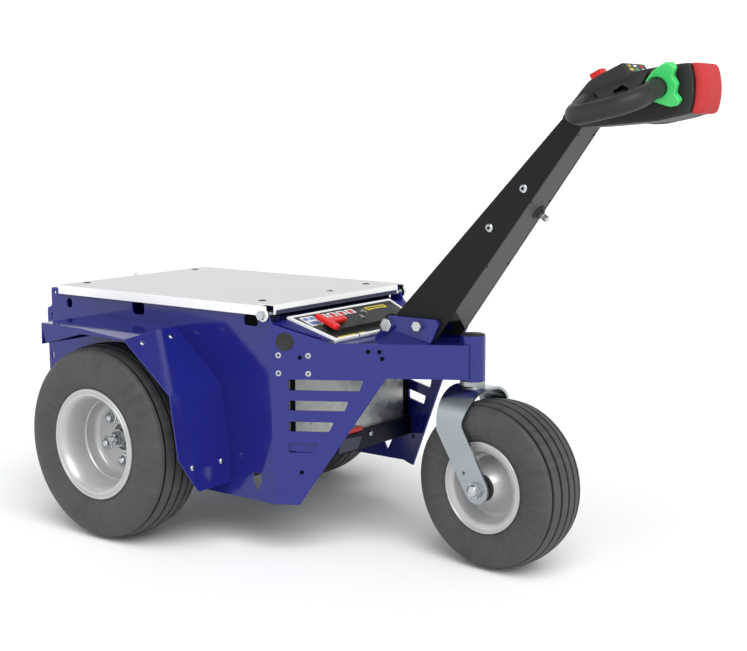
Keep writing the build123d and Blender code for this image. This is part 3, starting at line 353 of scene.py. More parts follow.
@dataclass(frozen=True)
class TyreRubber(Finish):
    """Vulcanised tyre rubber: matt grey-black with radial mould streaks and a dusty bloom."""

    bloom: str
    specular: float = 0.35
    # Streaks run out from the axle: how many round the wheel, how long each is and how sharp
    streaks: float = 70.0
    streak_length: float = 60.0
    streak_span: Point = (0.32, 0.68)
    # Skin grain is finer than half a millimetre; it is drawn at 2 mm so that it shows
    grain: float = 2.0
    grain_depth: float = 0.3
    grain_strength: float = 0.4
    # Patches of dust: their size, the part of the pattern that shows and its most
    dust: float = 90.0
    dust_span: Point = (0.45, 0.85)
    dust_most: float = 0.55
    gloss: Point = (0.5, 0.72)

    def lay(self, tree: Tree, space: Node) -> Inputs:
        """Add streaks in polar coordinates about the piece's own axle, its z, with grain and dust.

        Args:
            tree: The material's node tree.
            space: The node of the piece's own coordinates.

        Returns:
            What the shader is filled with.
        """
        place = space.outputs["Object"]
        x, y, _ = add_node(tree, "ShaderNodeSeparateXYZ", {0: place}).outputs
        turn = add_node(tree, MATHS, {"operation": "ARCTAN2", 0: y, 1: x})
        flat = add_node(tree, "ShaderNodeCombineXYZ", {0: x, 1: y})
        reach = add_node(tree, "ShaderNodeVectorMath", {"operation": "LENGTH", 0: flat}).outputs["Value"]
        polar = add_node(tree, "ShaderNodeCombineXYZ", {
            number: add_node(tree, MATHS, {"operation": "MULTIPLY", 0: way, 1: scale})
            for number, (way, scale) in enumerate(
                ((turn, self.streaks / (2 * pi)), (reach, per_mm(self.streak_length)))
            )
        })
        streak = add_node(tree, NOISE, {"Vector": polar, "Scale": 1.0, "Detail": 4.0})
        grain = add_node(tree, NOISE, {"Vector": place, "Scale": per_mm(self.grain), "Detail": 3.0})
        dust = add_node(tree, NOISE, {"Vector": place, "Scale": per_mm(self.dust), "Detail": 5.0})
        low, high = self.dust_span
        dusty = add_node(
            tree, RANGE, {"Value": dust, "From Min": low, "From Max": high, "To Max": self.dust_most}
        )
        low, high = self.streak_span
        spread = add_node(tree, RANGE, {"Value": streak, "From Min": low, "From Max": high})
        tones = {MIX_LOW: self.tone(tree, spread), MIX_HIGH: linear(self.bloom)}
        skin = add_node(tree, MIX, {"data_type": "RGBA", MIX_SHARE: dusty, **tones})
        height = add_node(tree, MATHS, {"operation": "ADD", 0: grain, 1: streak})
        depth = {"Strength": self.grain_strength, "Distance": self.grain_depth * MM}
        smooth, rough = self.gloss
        return {
            "IOR": RUBBER_IOR,
            "Specular IOR Level": self.specular,
            "Base Color": skin.outputs[MIX_RESULT],
            "Roughness": add_node(tree, RANGE, {"Value": streak, "To Min": smooth, "To Max": rough}),
            "Normal": add_node(tree, BUMP, {"Height": height, **depth}),
        }


@dataclass(frozen=True)
class MouldedPlastic(Finish):
    """Injection-moulded plastic: an even colour with a spark-eroded grain and a soft sheen."""

    roughness: float
    # Mould grain is about half a millimetre; it is drawn at 1.4 mm so that it shows
    grain: float = 1.4
    grain_depth: float = 0.05
    grain_strength: float = 0.4
    specular: float = 0.5
    # Marks of the melt's flow, and how far they move the roughness
    flow: float = 50.0
    gloss: Point = (-0.06, 0.08)

    def lay(self, tree: Tree, space: Node) -> Inputs:
        """Add slight flow marks and the mould's grain.

        Args:
            tree: The material's node tree.
            space: The node of the piece's own coordinates.

        Returns:
            What the shader is filled with.
        """
        place = space.outputs["Object"]
        flow = add_node(tree, NOISE, {"Vector": place, "Scale": per_mm(self.flow), "Detail": 2.0})
        grain = add_node(tree, NOISE, {"Vector": place, "Scale": per_mm(self.grain), "Detail": 2.0})
        smooth, rough = (self.roughness + shift for shift in self.gloss)
        depth = {"Strength": self.grain_strength, "Distance": self.grain_depth * MM}
        return {
            "IOR": RESIN_IOR,
            "Specular IOR Level": self.specular,
            "Base Color": self.tone(tree, flow),
            "Roughness": add_node(tree, RANGE, {"Value": flow, "To Min": smooth, "To Max": rough}),
            "Normal": add_node(tree, BUMP, {"Height": grain, **depth}),
        }


# Sprayed coats: the chassis is glossy, the deck and panel are satin, and what lies lower is dull
BLUE_COAT = PowderCoat("powder_coated_steel_blue", "#1C2276", "#191E6E", 0.1)
BLUE_SATIN = PowderCoat("satin_powder_coat_blue", "#14186C", "#101462", 0.32, specular=0.15)
# The tray's darker blue is the chassis blue with painted shade
SHADED_BLUE_COAT = PowderCoat("powder_coated_steel_navy", "#0D0F26", "#0A0C20", 0.4, specular=0.12)
SLATE_COAT = PowderCoat("powder_coated_steel_slate", "#3C3E54", "#36384C", 0.4, specular=0.3)
# The deck's lip colour is a painted highlight that lightens its upright faces
DECK_COAT = PowderCoat("powder_coated_steel_white", "#CACACA", "#C6C6C6", 0.42, specular=0.25, lip="#F0F0F0")
PANEL_SHEET = PowderCoat("powder_coated_panel_white", "#EEEEEE", "#E8E8E8", 0.4, specular=0.25)
ARM_COAT = PowderCoat("powder_coated_steel_black", "#1E1E1E", "#191919", 0.5, specular=0.15)
# The arm's grey is its black coat with painted light, for the front that faces the light
ARM_COAT_PAINTED_LIGHT = PowderCoat("powder_coated_steel_grey", "#4C4C4C", "#464646", 0.5, specular=0.25)
# Brush paint on castings: thick and coarse, so that highlights break up
IRON_PAINT = PowderCoat("brush_painted_iron_black", "#1B1B1C", "#131314", 0.5, peel=9.0, peel_depth=0.15)
# Bright metal: long rolling marks on sheet, short ones on turned pieces, a cloudy skin on forgings
FORK_ZINC = PlatedSteel("zinc_plated_steel_sheet", "#ACB2B6", "#9CA3A8", 0.2)
BOLT_ZINC = PlatedSteel("zinc_plated_steel_bolt", "#CFD2D4", "#B4B8BB", 0.26, (4.0, 4.0, 1.5), cloud=8.0)
HUB_ZINC = PlatedSteel("zinc_plated_forging", "#BDBFC1", "#9A9DA0", 0.34, streak=(8.0, 8.0, 8.0), cloud=12.0)
HUB_OXIDE = PlatedSteel("black_oxide_forging", "#7A7B7C", "#58595A", 0.34, streak=(8.0, 8.0, 8.0), cloud=12.0)
KEY_CHROME = PlatedSteel("chromed_brass", "#DADADA", "#C6C6C6", 0.14, streak=(4.0, 4.0, 1.0), cloud=10.0)
GALVANISED = GalvanisedSheet("galvanised_steel_sheet", "#C2C3C1", "#A2A4A3")
RIM_LACQUER = SilverLacquer("silver_lacquered_steel", "#BEBEBE", "#AEAEAE")
# Rubber: matt, from grey tyres to a near-black that also paints shade, so groove floors, hole plugs and box
# strips look as dark as open holes
TYRE = TyreRubber("vulcanised_tyre_rubber", "#464646", "#3A3A3A", "#4E4E4E")
BLACK_RUBBER = MouldedPlastic("moulded_rubber_black", "#1C1C1C", "#141414", 0.6, grain=2.0, grain_depth=0.12)
SLATE_RUBBER = MouldedPlastic("extruded_rubber_slate", "#3A3C52", "#34364A", 0.6, specular=0.2)
MATT_RUBBER_AND_SHADE = MouldedPlastic("matt_rubber_black", "#101010", "#0C0C0C", 0.8, specular=0.02)
RED_RUBBER = MouldedPlastic("moulded_silicone_red", "#BE3C3C", "#B63838", 0.6, grain=2.0, specular=0.1)
# Hard plastic: grained cases with a soft sheen, and smooth bright controls
BLACK_PLASTIC = MouldedPlastic("moulded_nylon_black", "#2A2A2A", "#242424", 0.5, specular=0.35)
CASE_PLASTIC = MouldedPlastic("moulded_polypropylene_black", "#262626", "#1E1E1E", 0.5)
GREEN_PLASTIC = MouldedPlastic("moulded_abs_green", "#48D672", "#3CC864", 0.3, grain_depth=0.02)
RED_PLASTIC = MouldedPlastic("moulded_abs_red", "#D61A1A", "#C81414", 0.22, grain_depth=0.02, specular=0.35)
# Printed film: flat ink under a smooth face
BLACK_FILM = MouldedPlastic("printed_polyester_black", "#242624", "#1E201E", 0.35, grain_depth=0.01)
WHITE_FILM = MouldedPlastic("printed_polyester_white", "#E9E9E6", "#DDDDDA", 0.35, grain_depth=0.01)
YELLOW_FILM = MouldedPlastic("printed_polyester_yellow", "#D9C62A", "#CDBA22", 0.35, grain_depth=0.01)
GREEN_FILM = MouldedPlastic("printed_polyester_green", "#2E9A5A", "#258A4E", 0.35, grain_depth=0.01)
RED_FILM = MouldedPlastic("printed_polyester_red", "#C82A2A", "#BA2222", 0.35, grain_depth=0.01)
BLUE_FILM = MouldedPlastic("printed_polyester_blue", "#5C78B4", "#506CA8", 0.35, grain_depth=0.01)
# The floor: matt paper that mirrors nothing
STUDIO_FLOOR = PowderCoat("matt_paper_floor", "#FAFAFA", "#F8F8F8", 0.9, specular=0.0)


def spot(x: float, y: float, z: float) -> Vector:
    """Give a point in the row's frame, in metres, from millimetres ahead of the rear axle."""
    return Vector((x + AXLE_X, y, z)) * MM


def seat(origin: Vector, out: Vector, along: Vector) -> Matrix:
    """Give the placing of a piece by the way it faces.

    Args:
        origin: The piece's own origin in the row's frame, in metres.
        out: The way the piece's own z points.
        along: The way the piece's own x points, as near as z allows.

    Returns:
        The placing matrix.
    """
    z_way = out.normalized()
    x_way = (along - along.dot(z_way) * z_way).normalized()
    placing = Matrix((x_way, z_way.cross(x_way), z_way)).transposed().to_4x4()
    placing.translation = origin
    return placing


def arc_points(start: Point, middle: Point, end: Point, count: int) -> list[Point]:
    """Sample the circle's arc through three points.

    Args:
        start: First point.
        middle: A point that the arc passes.
        end: Last point.
        count: How many equal steps to take.

    Returns:
        The points from start to end.
    """
    a, b, c = (Vector(point) for point in (start, middle, end))
    turn = 2 * ((a - c).cross(b - c))
    square_a, square_b = (a - c).length_squared, (b - c).length_squared
    offset = Vector((
        square_a * (b - c).y - square_b * (a - c).y, square_b * (a - c).x - square_a * (b - c).x
    ))
    centre = c + offset / turn
    sweep = (a - centre).angle_signed(b - centre) + (b - centre).angle_signed(c - centre)
    points = []
    for step in range(count + 1):
        spoke = (a - centre).copy()
        spoke.rotate(Matrix.Rotation(-sweep * step / count, 2))
        points.append(tuple(centre + spoke))
    return points


def rounded(width: float, height: float, corner: float, steps: int = 4) -> list[Point]:
    """Give the outline of a rectangle with rounded corners, about its middle.

    Args:
        width: Size along x.
        height: Size along y.
        corner: Radius of the corners.
        steps: Segments in each corner.

    Returns:
        The outline's points.
    """
    outline = []
    for quarter, (x, y) in enumerate(((1, 1), (-1, 1), (-1, -1), (1, -1))):
        for step in range(steps + 1):
            angle = (quarter + step / steps) * pi / 2
            outline.append((
                x * (width / 2 - corner) + corner * cos(angle),
                y * (height / 2 - corner) + corner * sin(angle),
            ))
    return outline


def polygon(radius: float, count: int) -> list[Point]:
    """Give the corners of a regular polygon about its middle."""
    return [(radius * cos(2 * pi * i / count), radius * sin(2 * pi * i / count)) for i in range(count)]


@dataclass
class Piece:
    """One piece's mesh while it is built, in millimetres about its own seat."""

    name: str
    mesh: bmesh.types.BMesh = field(default_factory=bmesh.new)

    def face(self, corners: list[bmesh.types.BMVert]) -> None:
        """Add a face over these corners, once each."""
        self.mesh.faces.new(list(dict.fromkeys(corners)))

    def turned(self, profile: Profile, segments: int = 32, closed: bool = False) -> "Piece":
        """Add a form turned about z.

        Args:
            profile: Height along z and radius of each ring.
            segments: Flats round the turn.
            closed: Whether the last ring joins the first, as in a hollow ring.

        Returns:
            The piece itself.
        """
        rings = []
        for height, radius in profile:
            flats = segments if radius else 1
            rings.append([self.mesh.verts.new((x, y, height)) for x, y in polygon(radius, flats)])
        following = rings[1:] + rings[:1] if closed else rings[1:]
        for ring, after in zip(rings, following):
            for i in range(segments):
                j = i + 1
                self.face([
                    ring[i % len(ring)], ring[j % len(ring)], after[j % len(after)], after[i % len(after)]
                ])
        return self

    def plate(self, outline: Profile, low: float, high: float, taper: float = 1.0) -> "Piece":
        """Add a flat plate.

        Args:
            outline: Corners of the plate.
            low: Height of its underside.
            high: Height of its top.
            taper: Size of the top as a share of the underside.

        Returns:
            The piece itself.
        """
        under = [self.mesh.verts.new((x, y, low)) for x, y in outline]
        over = [self.mesh.verts.new((x * taper, y * taper, high)) for x, y in outline]
        self.face(under[::-1])
        self.face(over)
        for i in range(len(outline)):
            self.face([under[i - 1], under[i], over[i], over[i - 1]])
        return self

    def border(self, outer: Profile, inner: Profile, low: float, high: float) -> "Piece":
        """Add a flat frame between two outlines of as many corners.

        Args:
            outer: Outer corners.
            inner: Inner corners.
            low: Height of its underside.
            high: Height of its top.

        Returns:
            The piece itself.
        """
        rings = [
            [self.mesh.verts.new((x, y, z)) for x, y in outline]
            for outline, z in ((outer, low), (outer, high), (inner, high), (inner, low))
        ]
        for ring, after in zip(rings, rings[1:] + rings[:1]):
            for i in range(len(outer)):
                self.face([ring[i - 1], ring[i], after[i], after[i - 1]])
        return self

    def place(
        self,
        placing: Matrix,
        finish: Finish,
        body: Body,
        slot: str,
        stands_for: tuple[str, ...] = (),
        round_edge: float = 0.0,
        sheet: float = 0.0,
    ) -> Item:
        """Turn the mesh into an object, put it in its place and let it ride.

        Args:
            placing: Where its own seat goes in the row's frame.
            finish: Its finish.
            body: The body that carries it.
            slot: The record's material slot; not used.
            stands_for: CAD nodes that it replaces.
            round_edge: Radius of its broken edges.
            sheet: Thickness to give to a mesh that is a single skin.

        Returns:
            The placed object.
        """
        bmesh.ops.transform(self.mesh, matrix=Matrix.Scale(MM, 4), verts=self.mesh.verts)
        if not sheet:
            bmesh.ops.recalc_face_normals(self.mesh, faces=self.mesh.faces)
        for edge in self.mesh.edges:
            edge.smooth = not edge.is_manifold or edge.calc_face_angle() < SHARP_ANGLE
        for face in self.mesh.faces:
            face.smooth = True
        data = bpy.data.meshes.new(self.name)
        self.mesh.to_mesh(data)
        self.mesh.free()
        data.materials.append(finish.material())
        item = bpy.data.objects.new(self.name, data)
        bpy.context.scene.collection.objects.link(item)
        item.matrix_world = placing
        if sheet:
            skin = item.modifiers.new("sheet", "SOLIDIFY")
            skin.thickness = sheet * MM
            skin.offset = -1
            skin.use_even_offset = True
        if round_edge:
            break_edges(item, round_edge)
        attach(item, body.value)
        if stands_for:
            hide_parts(*stands_for)
        return item


def break_edges(item: Item, radius: float, segments: int = 2) -> None:
    """Round an object's sharp edges.

    Args:
        item: The object.
        radius: Width of the rounded edge.
        segments: Facets across it.
    """
    bevel = item.modifiers.new("broken_edges", "BEVEL")
    bevel.width = radius * MM
    bevel.segments = segments
    bevel.limit_method = "ANGLE"
    bevel.angle_limit = SHARP_ANGLE
    bevel.harden_normals = True
    bevel.use_clamp_overlap = True


def weld_group() -> Tree:
    """Make the node group that welds a solid's faces together and shades it by angle.

    Returns:
        The group, made at its first use.
    """
    made = bpy.data.node_groups.get("weld_and_shade")
    if made:
        return made
    tree = bpy.data.node_groups.new("weld_and_shade", "GeometryNodeTree")
    for way in ("INPUT", "OUTPUT"):
        tree.interface.new_socket("Geometry", in_out=way, socket_type="NodeSocketGeometry")
    start = add_node(tree, "NodeGroupInput")
    weld = add_node(tree, "GeometryNodeMergeByDistance", {0: start, "Distance": WELD_REACH * MM})
    bare = add_node(tree, "GeometryNodeRemoveAttribute", {0: weld, "Name": "custom_normal"})
    angle = add_node(tree, "GeometryNodeInputMeshEdgeAngle")
    soft = add_node(tree, "FunctionNodeCompare", {
        "data_type": "FLOAT", "operation": "LESS_THAN", 0: angle, 1: SHARP_ANGLE,
    })
    smooth = "GeometryNodeSetShadeSmooth"
    faces = add_node(tree, smooth, {"domain": "FACE", 0: bare, "Shade Smooth": True})
    edges = add_node(tree, smooth, {"domain": "EDGE", 0: faces, "Shade Smooth": soft})
    add_node(tree, "NodeGroupOutput", {0: edges})
    return tree


@dataclass
class Solids:
    """The CAD solids that keep their shape: each gets its finish and broken edges."""

    # Finish and edge radius of each solid that no piece replaces
    dress: dict[str, tuple[Finish, float]] = field(default_factory=lambda: {
        "side_plate_right": (BLUE_COAT, 0.5),
        "side_plate_left": (BLUE_COAT, 0.5),
        "head_tube": (BLUE_COAT, 0.8),
        "top_plate": (BLUE_COAT, 0.5),
        # Darker blue on the tray: painted shade
        "floor_tray": (SHADED_BLUE_COAT, 0.5),
        "rear_plate": (BLUE_COAT, 0.6),
        "tiller_bracket": (BLUE_COAT, 0.8),
        "cross_member": (BLUE_COAT, 0.4),
        "panel_cover": (BLUE_SATIN, 0.3),
        "battery_box": (GALVANISED, 0.4),
        "battery": (CASE_PLASTIC, 2.0),
        "hinge_bolt_right": (BOLT_ZINC, 0.6),
        "hinge_bolt_left": (BOLT_ZINC, 0.6),
        "tiller_pivot": (BOLT_ZINC, 0.9),
        "tiller_lock": (BOLT_ZINC, 0.9),
        "drive_axle": (IRON_PAINT, 1.0),
        "drive_motor": (IRON_PAINT, 1.5),
        "tow_jaw": (IRON_PAINT, 1.5),
        "lid_feet": (BLACK_RUBBER, 1.0),
        "console": (CASE_PLASTIC, 1.5),
        "key_switch": (KEY_CHROME, 0.4),
        "control_panel": (PANEL_SHEET, 0.4),
        "deck_lid": (DECK_COAT, 0.5),
        "tiller_arm": (ARM_COAT, 0.6),
        "horn_tab": (RED_PLASTIC, 1.5),
        "head_display": (BLACK_FILM, 0.4),
        "castor_fork": (FORK_ZINC, 0.9),
        "castor_stem": (HUB_ZINC, 0.5),
        "castor_axle": (BOLT_ZINC, 0.9),
        "hub_right": (HUB_OXIDE, 0.8),
        "hub_left": (HUB_OXIDE, 0.8),
    })
    # Soft mouldings are remeshed and smoothed until their edges are rounded: finish, cell and rounds
    mouldings: dict[str, tuple[Finish, float, int]] = field(default_factory=lambda: {
        "tiller_head": (BLACK_PLASTIC, 2.2, 10),
        "throttle_paddle_right": (GREEN_PLASTIC, 1.2, 14),
        "throttle_paddle_left": (GREEN_PLASTIC, 1.2, 14),
        "belly_button": (RED_RUBBER, 1.8, 40),
        "isolator_handle": (RED_PLASTIC, 1.2, 10),
    })
    smoothing: float = 0.5

    def build(self) -> Iterator[Item]:
        """Dress every solid.

        Yields:
            Each solid's object.
        """
        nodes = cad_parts
        for name, (finish, edge) in self.dress.items():
            self.paint(nodes[name], finish)
            break_edges(nodes[name], edge)
            yield nodes[name]
        for name, (finish, cell, rounds) in self.mouldings.items():
            self.paint(nodes[name], finish)
            self.soften(nodes[name], cell, rounds)
            yield nodes[name]

    def soften(self, node: Item, cell: float, rounds: int) -> None:
        """Round a moulding's edges.

        Args:
            node: The solid's object.
            cell: Size of the cells that it is remeshed in.
            rounds: How often the new mesh is smoothed.
        """
        remesh = node.modifiers.new("moulding", "REMESH")
        remesh.mode = "VOXEL"
        remesh.voxel_size = cell * MM
        remesh.use_smooth_shade = True
        smooth = node.modifiers.new("soft_edges", "SMOOTH")
        smooth.factor = self.smoothing
        smooth.iterations = rounds

    def paint(self, node: Item, finish: Finish) -> None:
        """Put a finish on every material slot of a solid, and weld its faces.

        Args:
            node: The solid's object.
            finish: Its finish.
        """
        if not node.material_slots:
            raise ValueError(f"{node.name} has no material slot")
        for place in node.material_slots:
            place.link = "OBJECT"
            place.material = finish.material()
        node.modifiers.new("weld", "NODES").node_group = weld_group()


@dataclass
class Tyre:
    """A tyre turned about its axle, with grooves round its crown and moulded rings on its walls."""

    radius: float
    width: float
    bead_radius: float
    bead_half: float
    seat_radius: float
    grooves: tuple[float, ...]
    groove_width: float = 5.6
    groove_depth: float = 9.0
    # How far a groove's walls lean in, and how far below the crown its black floor lies
    groove_draft: float = 0.4
    groove_floor: float = 3.0
    # Room beside and below the black floor
    floor_play: float = 0.5
    floor_lift: float = 0.2
    shoulder_share: float = 0.86
    shoulder_drop: float = 0.08
    shoulder_round: float = 2.5
    shoulder_lean: float = 0.4
    # Height of the moulded rings, and the steps of the wall's arc that carry them
    wall_ring: float = 0.9
    ring_steps: tuple[int, ...] = (2, 5)
    wall_steps: int = 22
    rib_steps: int = 4
    segments: int = 144

    @property
    def half(self) -> float:
        """Give the distance from the middle to a shoulder."""
        return self.shoulder_share * self.width / 2

    def crown(self, z: float) -> float:
        """Give the crown's radius at this distance from the middle."""
        return self.radius - self.shoulder_drop * self.width * (z / self.half) ** 2

    def wall(self) -> list[Point]:
        """Give the section of the outer wall, from the bead to the crown.

        Returns:
            Distance along the axle and radius of each ring.
        """
        shoulder = self.crown(self.half)
        bulge = (self.width / 2, (self.bead_radius + shoulder) / 2)
        rings = arc_points((self.bead_half, self.bead_radius), bulge, (self.half, shoulder), self.wall_steps)
        inside = self.half - self.shoulder_round
        rings[-1:] = [
            (self.half + self.shoulder_lean, shoulder - self.shoulder_round), (inside, self.crown(inside))
        ]
        for step in self.ring_steps:
            z, radius = rings[step]
            rings[step] = (z + self.wall_ring, radius)
        return rings

    def tread(self) -> list[Point]:
        """Give the section of the crown, with its ribs and grooves.

        Returns:
            Distance along the axle and radius of each ring.
        """
        inside = self.half - self.shoulder_round
        edges = [middle + way * self.groove_width / 2 for middle in self.grooves for way in (-1, 1)]
        stops = [-inside, *edges, inside]
        rings = []
        for rib in range(0, len(stops), 2):
            low, high = stops[rib:rib + 2]
            places = [low + (high - low) * step / self.rib_steps for step in range(self.rib_steps + 1)]
            rings += [(z, self.crown(z)) for z in places]
            if rib + 2 < len(stops):
                floor = (high + self.groove_draft, stops[rib + 2] - self.groove_draft)
                rings += [(z, self.crown(z) - self.groove_depth) for z in floor]
        return rings

    def build(self, name: str, placing: Matrix, body: Body, node: str) -> Item:
        """Build the tyre in the place of its CAD solid.

        Args:
            name: The piece's name.
            placing: Its middle, with z along the axle.
            body: The wheel's body.
            node: The CAD tyre that it replaces.

        Returns:
            The tyre's object.
        """
        wall = self.wall()
        inner = [(-z, radius) for z, radius in wall]
        seats = [(way * self.bead_half, self.seat_radius) for way in (-1, 1)]
        section = [seats[0], *inner[:-1], *self.tread(), *wall[-2::-1], seats[1]]
        piece = Piece(name).turned(section, self.segments, closed=True)
        return piece.place(placing, TYRE, body, "tyre_rubber", (node,))

    def build_grooves(self, name: str, placing: Matrix, body: Body) -> Item:
        """Build the floors of the grooves, black because no light reaches them.

        Args:
            name: The piece's name.
            placing: The tyre's middle, with z along the axle.
            body: The wheel's body.

        Returns:
            The floors' object.
        """
        piece = Piece(name)
        half = self.groove_width / 2 - self.floor_play
        for middle in self.grooves:
            ends = (middle - half, middle + half)
            high = [(z, self.crown(z) - self.groove_floor) for z in ends]
            low = [(z, self.crown(z) - self.groove_depth + self.floor_lift) for z in reversed(ends)]
            piece.turned([*high, *low], self.segments, closed=True)
        return piece.place(placing, MATT_RUBBER_AND_SHADE, body, "tyre_rubber")


@dataclass
class DrivenWheel:
    """A driven wheel: ribbed tyre, pressed rim, domed lug nuts and the slotted nut on its shaft."""

    side: Side
    centre_y: float = 312.0
    centre_z: float = 205.0
    nut_seat: float = 289.2
    shaft_end: float = 300.2
    stud_circle: float = 50.0
    stud_count: int = 5
    stud_start: float = 58.5
    # A lug nut: its flange, radius of its corners, heights of its flange, flats and dome
    nut_flange: Profile = ((0, 0), (0, 15), (1.6, 14.2), (2.4, 12.2), (2.4, 0))
    nut_across: float = 12.0
    nut_base: float = 2.4
    nut_hex: float = 7.0
    nut_dome: float = 10.0
    nut_height: float = 15.0
    dome_sink: float = 0.1
    dome_steps: int = 6
    # The shaft's nut: its washer, radius of its corners, its heights, one of its teeth and the shaft's end
    shaft_washer: Profile = ((0, 0), (0, 19), (2.4, 19), (2.4, 0))
    shaft_across: float = 16.0
    shaft_heights: Place = (2.4, 12.0, 19.0)
    tooth: Profile = ((7, -4), (13, -5), (13, 5), (7, 4))
    tooth_count: int = 6
    shaft_tip: Profile = ((11.9, 0), (11.9, 6.5), (20, 6.5), (21.5, 5), (21.5, 0))
    tyre: Tyre = field(default_factory=lambda: Tyre(205, 130, 116.2, 56.8, 100.2, (-44, -22, 0, 22, 44)))
    # Section of the pressed rim: distance out along the axle and radius, round its outer and inner faces
    rim: Profile = (
        (-23, 28.2), (-23, 70), (-21.8, 75), (-18, 79.5), (-11, 82.5), (-2, 84), (4, 84.6), (6.5, 86.8),
        (24, 88.6), (38, 91), (50, 94.5), (57, 98.5), (60, 102), (60.5, 106.5), (59.2, 107.6), (59.2, 109.6),
        (61, 111.4), (61, 115.2), (60, 116), (57.2, 115.8), (57, 100), (46, 97), (30, 92.5), (0, 90),
        (-40, 90), (-50, 95), (-57, 100), (-57.2, 116), (-61, 116), (-61, 96), (-48, 86), (-30, 84),
        (-27, 70), (-27, 28.2),
    )

    @property
    def body(self) -> Body:
        """Give the wheel's body."""
        return Body.WHEEL_RIGHT if self.side is Side.RIGHT else Body.WHEEL_LEFT

    def facing(self, x: float, reach: float, z: float) -> Matrix:
        """Give the placing of a piece that faces outwards, this far out from the middle of the tractor."""
        return seat(spot(x, reach * self.side.value, z), LEFT * self.side.value, AHEAD)

    def build(self) -> Iterator[Item]:
        """Build the wheel's pieces.

        Yields:
            Each piece's object.
        """
        label = self.side.label
        middle = self.facing(0, self.centre_y, self.centre_z)
        yield self.tyre.build(f"ribbed_tyre_{label}", middle, self.body, f"tyre_{label}")
        yield self.tyre.build_grooves(f"tread_grooves_{label}", middle, self.body)
        rim = Piece(f"pressed_rim_{label}").turned(self.rim, RIM_SEGMENTS, closed=True)
        yield rim.place(middle, RIM_LACQUER, self.body, "rim_paint", (f"rim_{label}",))
        for count in range(self.stud_count):
            yield self.lug_nut(count)
        yield self.shaft_nut()

    def lug_nut(self, count: int) -> Item:
        """Build one domed nut with its flange.

        Args:
            count: Which stud it sits on.

        Returns:
            The nut's object.
        """
        angle = radians(self.stud_start + 360 / self.stud_count * count)
        placing = self.facing(
            self.stud_circle * cos(angle), self.nut_seat, self.centre_z + self.stud_circle * sin(angle)
        )
        rise = self.nut_height - self.nut_hex
        turns = [step * pi / (2 * self.dome_steps) for step in range(self.dome_steps)]
        dome = [(self.nut_hex + rise * sin(turn), self.nut_dome * cos(turn)) for turn in turns]
        piece = Piece(f"lug_nut_{self.side.label}_{count}").turned(self.nut_flange)
        piece.plate(polygon(self.nut_across, 6), self.nut_base, self.nut_hex)
        piece.turned([(self.nut_hex - self.dome_sink, 0), *dome, (self.nut_height, 0)])
        return piece.place(placing, BOLT_ZINC, self.body, "hub_steel", round_edge=0.6)

    def shaft_nut(self) -> Item:
        """Build the slotted nut on the shaft, with its washer and the shaft's end.

        Returns:
            The nut's object.
        """
        piece = Piece(f"shaft_nut_{self.side.label}").turned(self.shaft_washer, segments=40)
        base, flats, top = self.shaft_heights
        piece.plate(polygon(self.shaft_across, 6), base, flats)
        for count in range(self.tooth_count):
            turn = Matrix.Rotation(radians(360 / self.tooth_count * count), 3, "Z")
            corners = [turn @ Vector((x, y, 0)) for x, y in self.tooth]
            piece.plate([(corner.x, corner.y) for corner in corners], flats, top)
        piece.turned(self.shaft_tip, segments=24)
        placing = self.facing(0, self.shaft_end, self.centre_z)
        return piece.place(placing, HUB_ZINC, self.body, "hub_steel", round_edge=0.5)


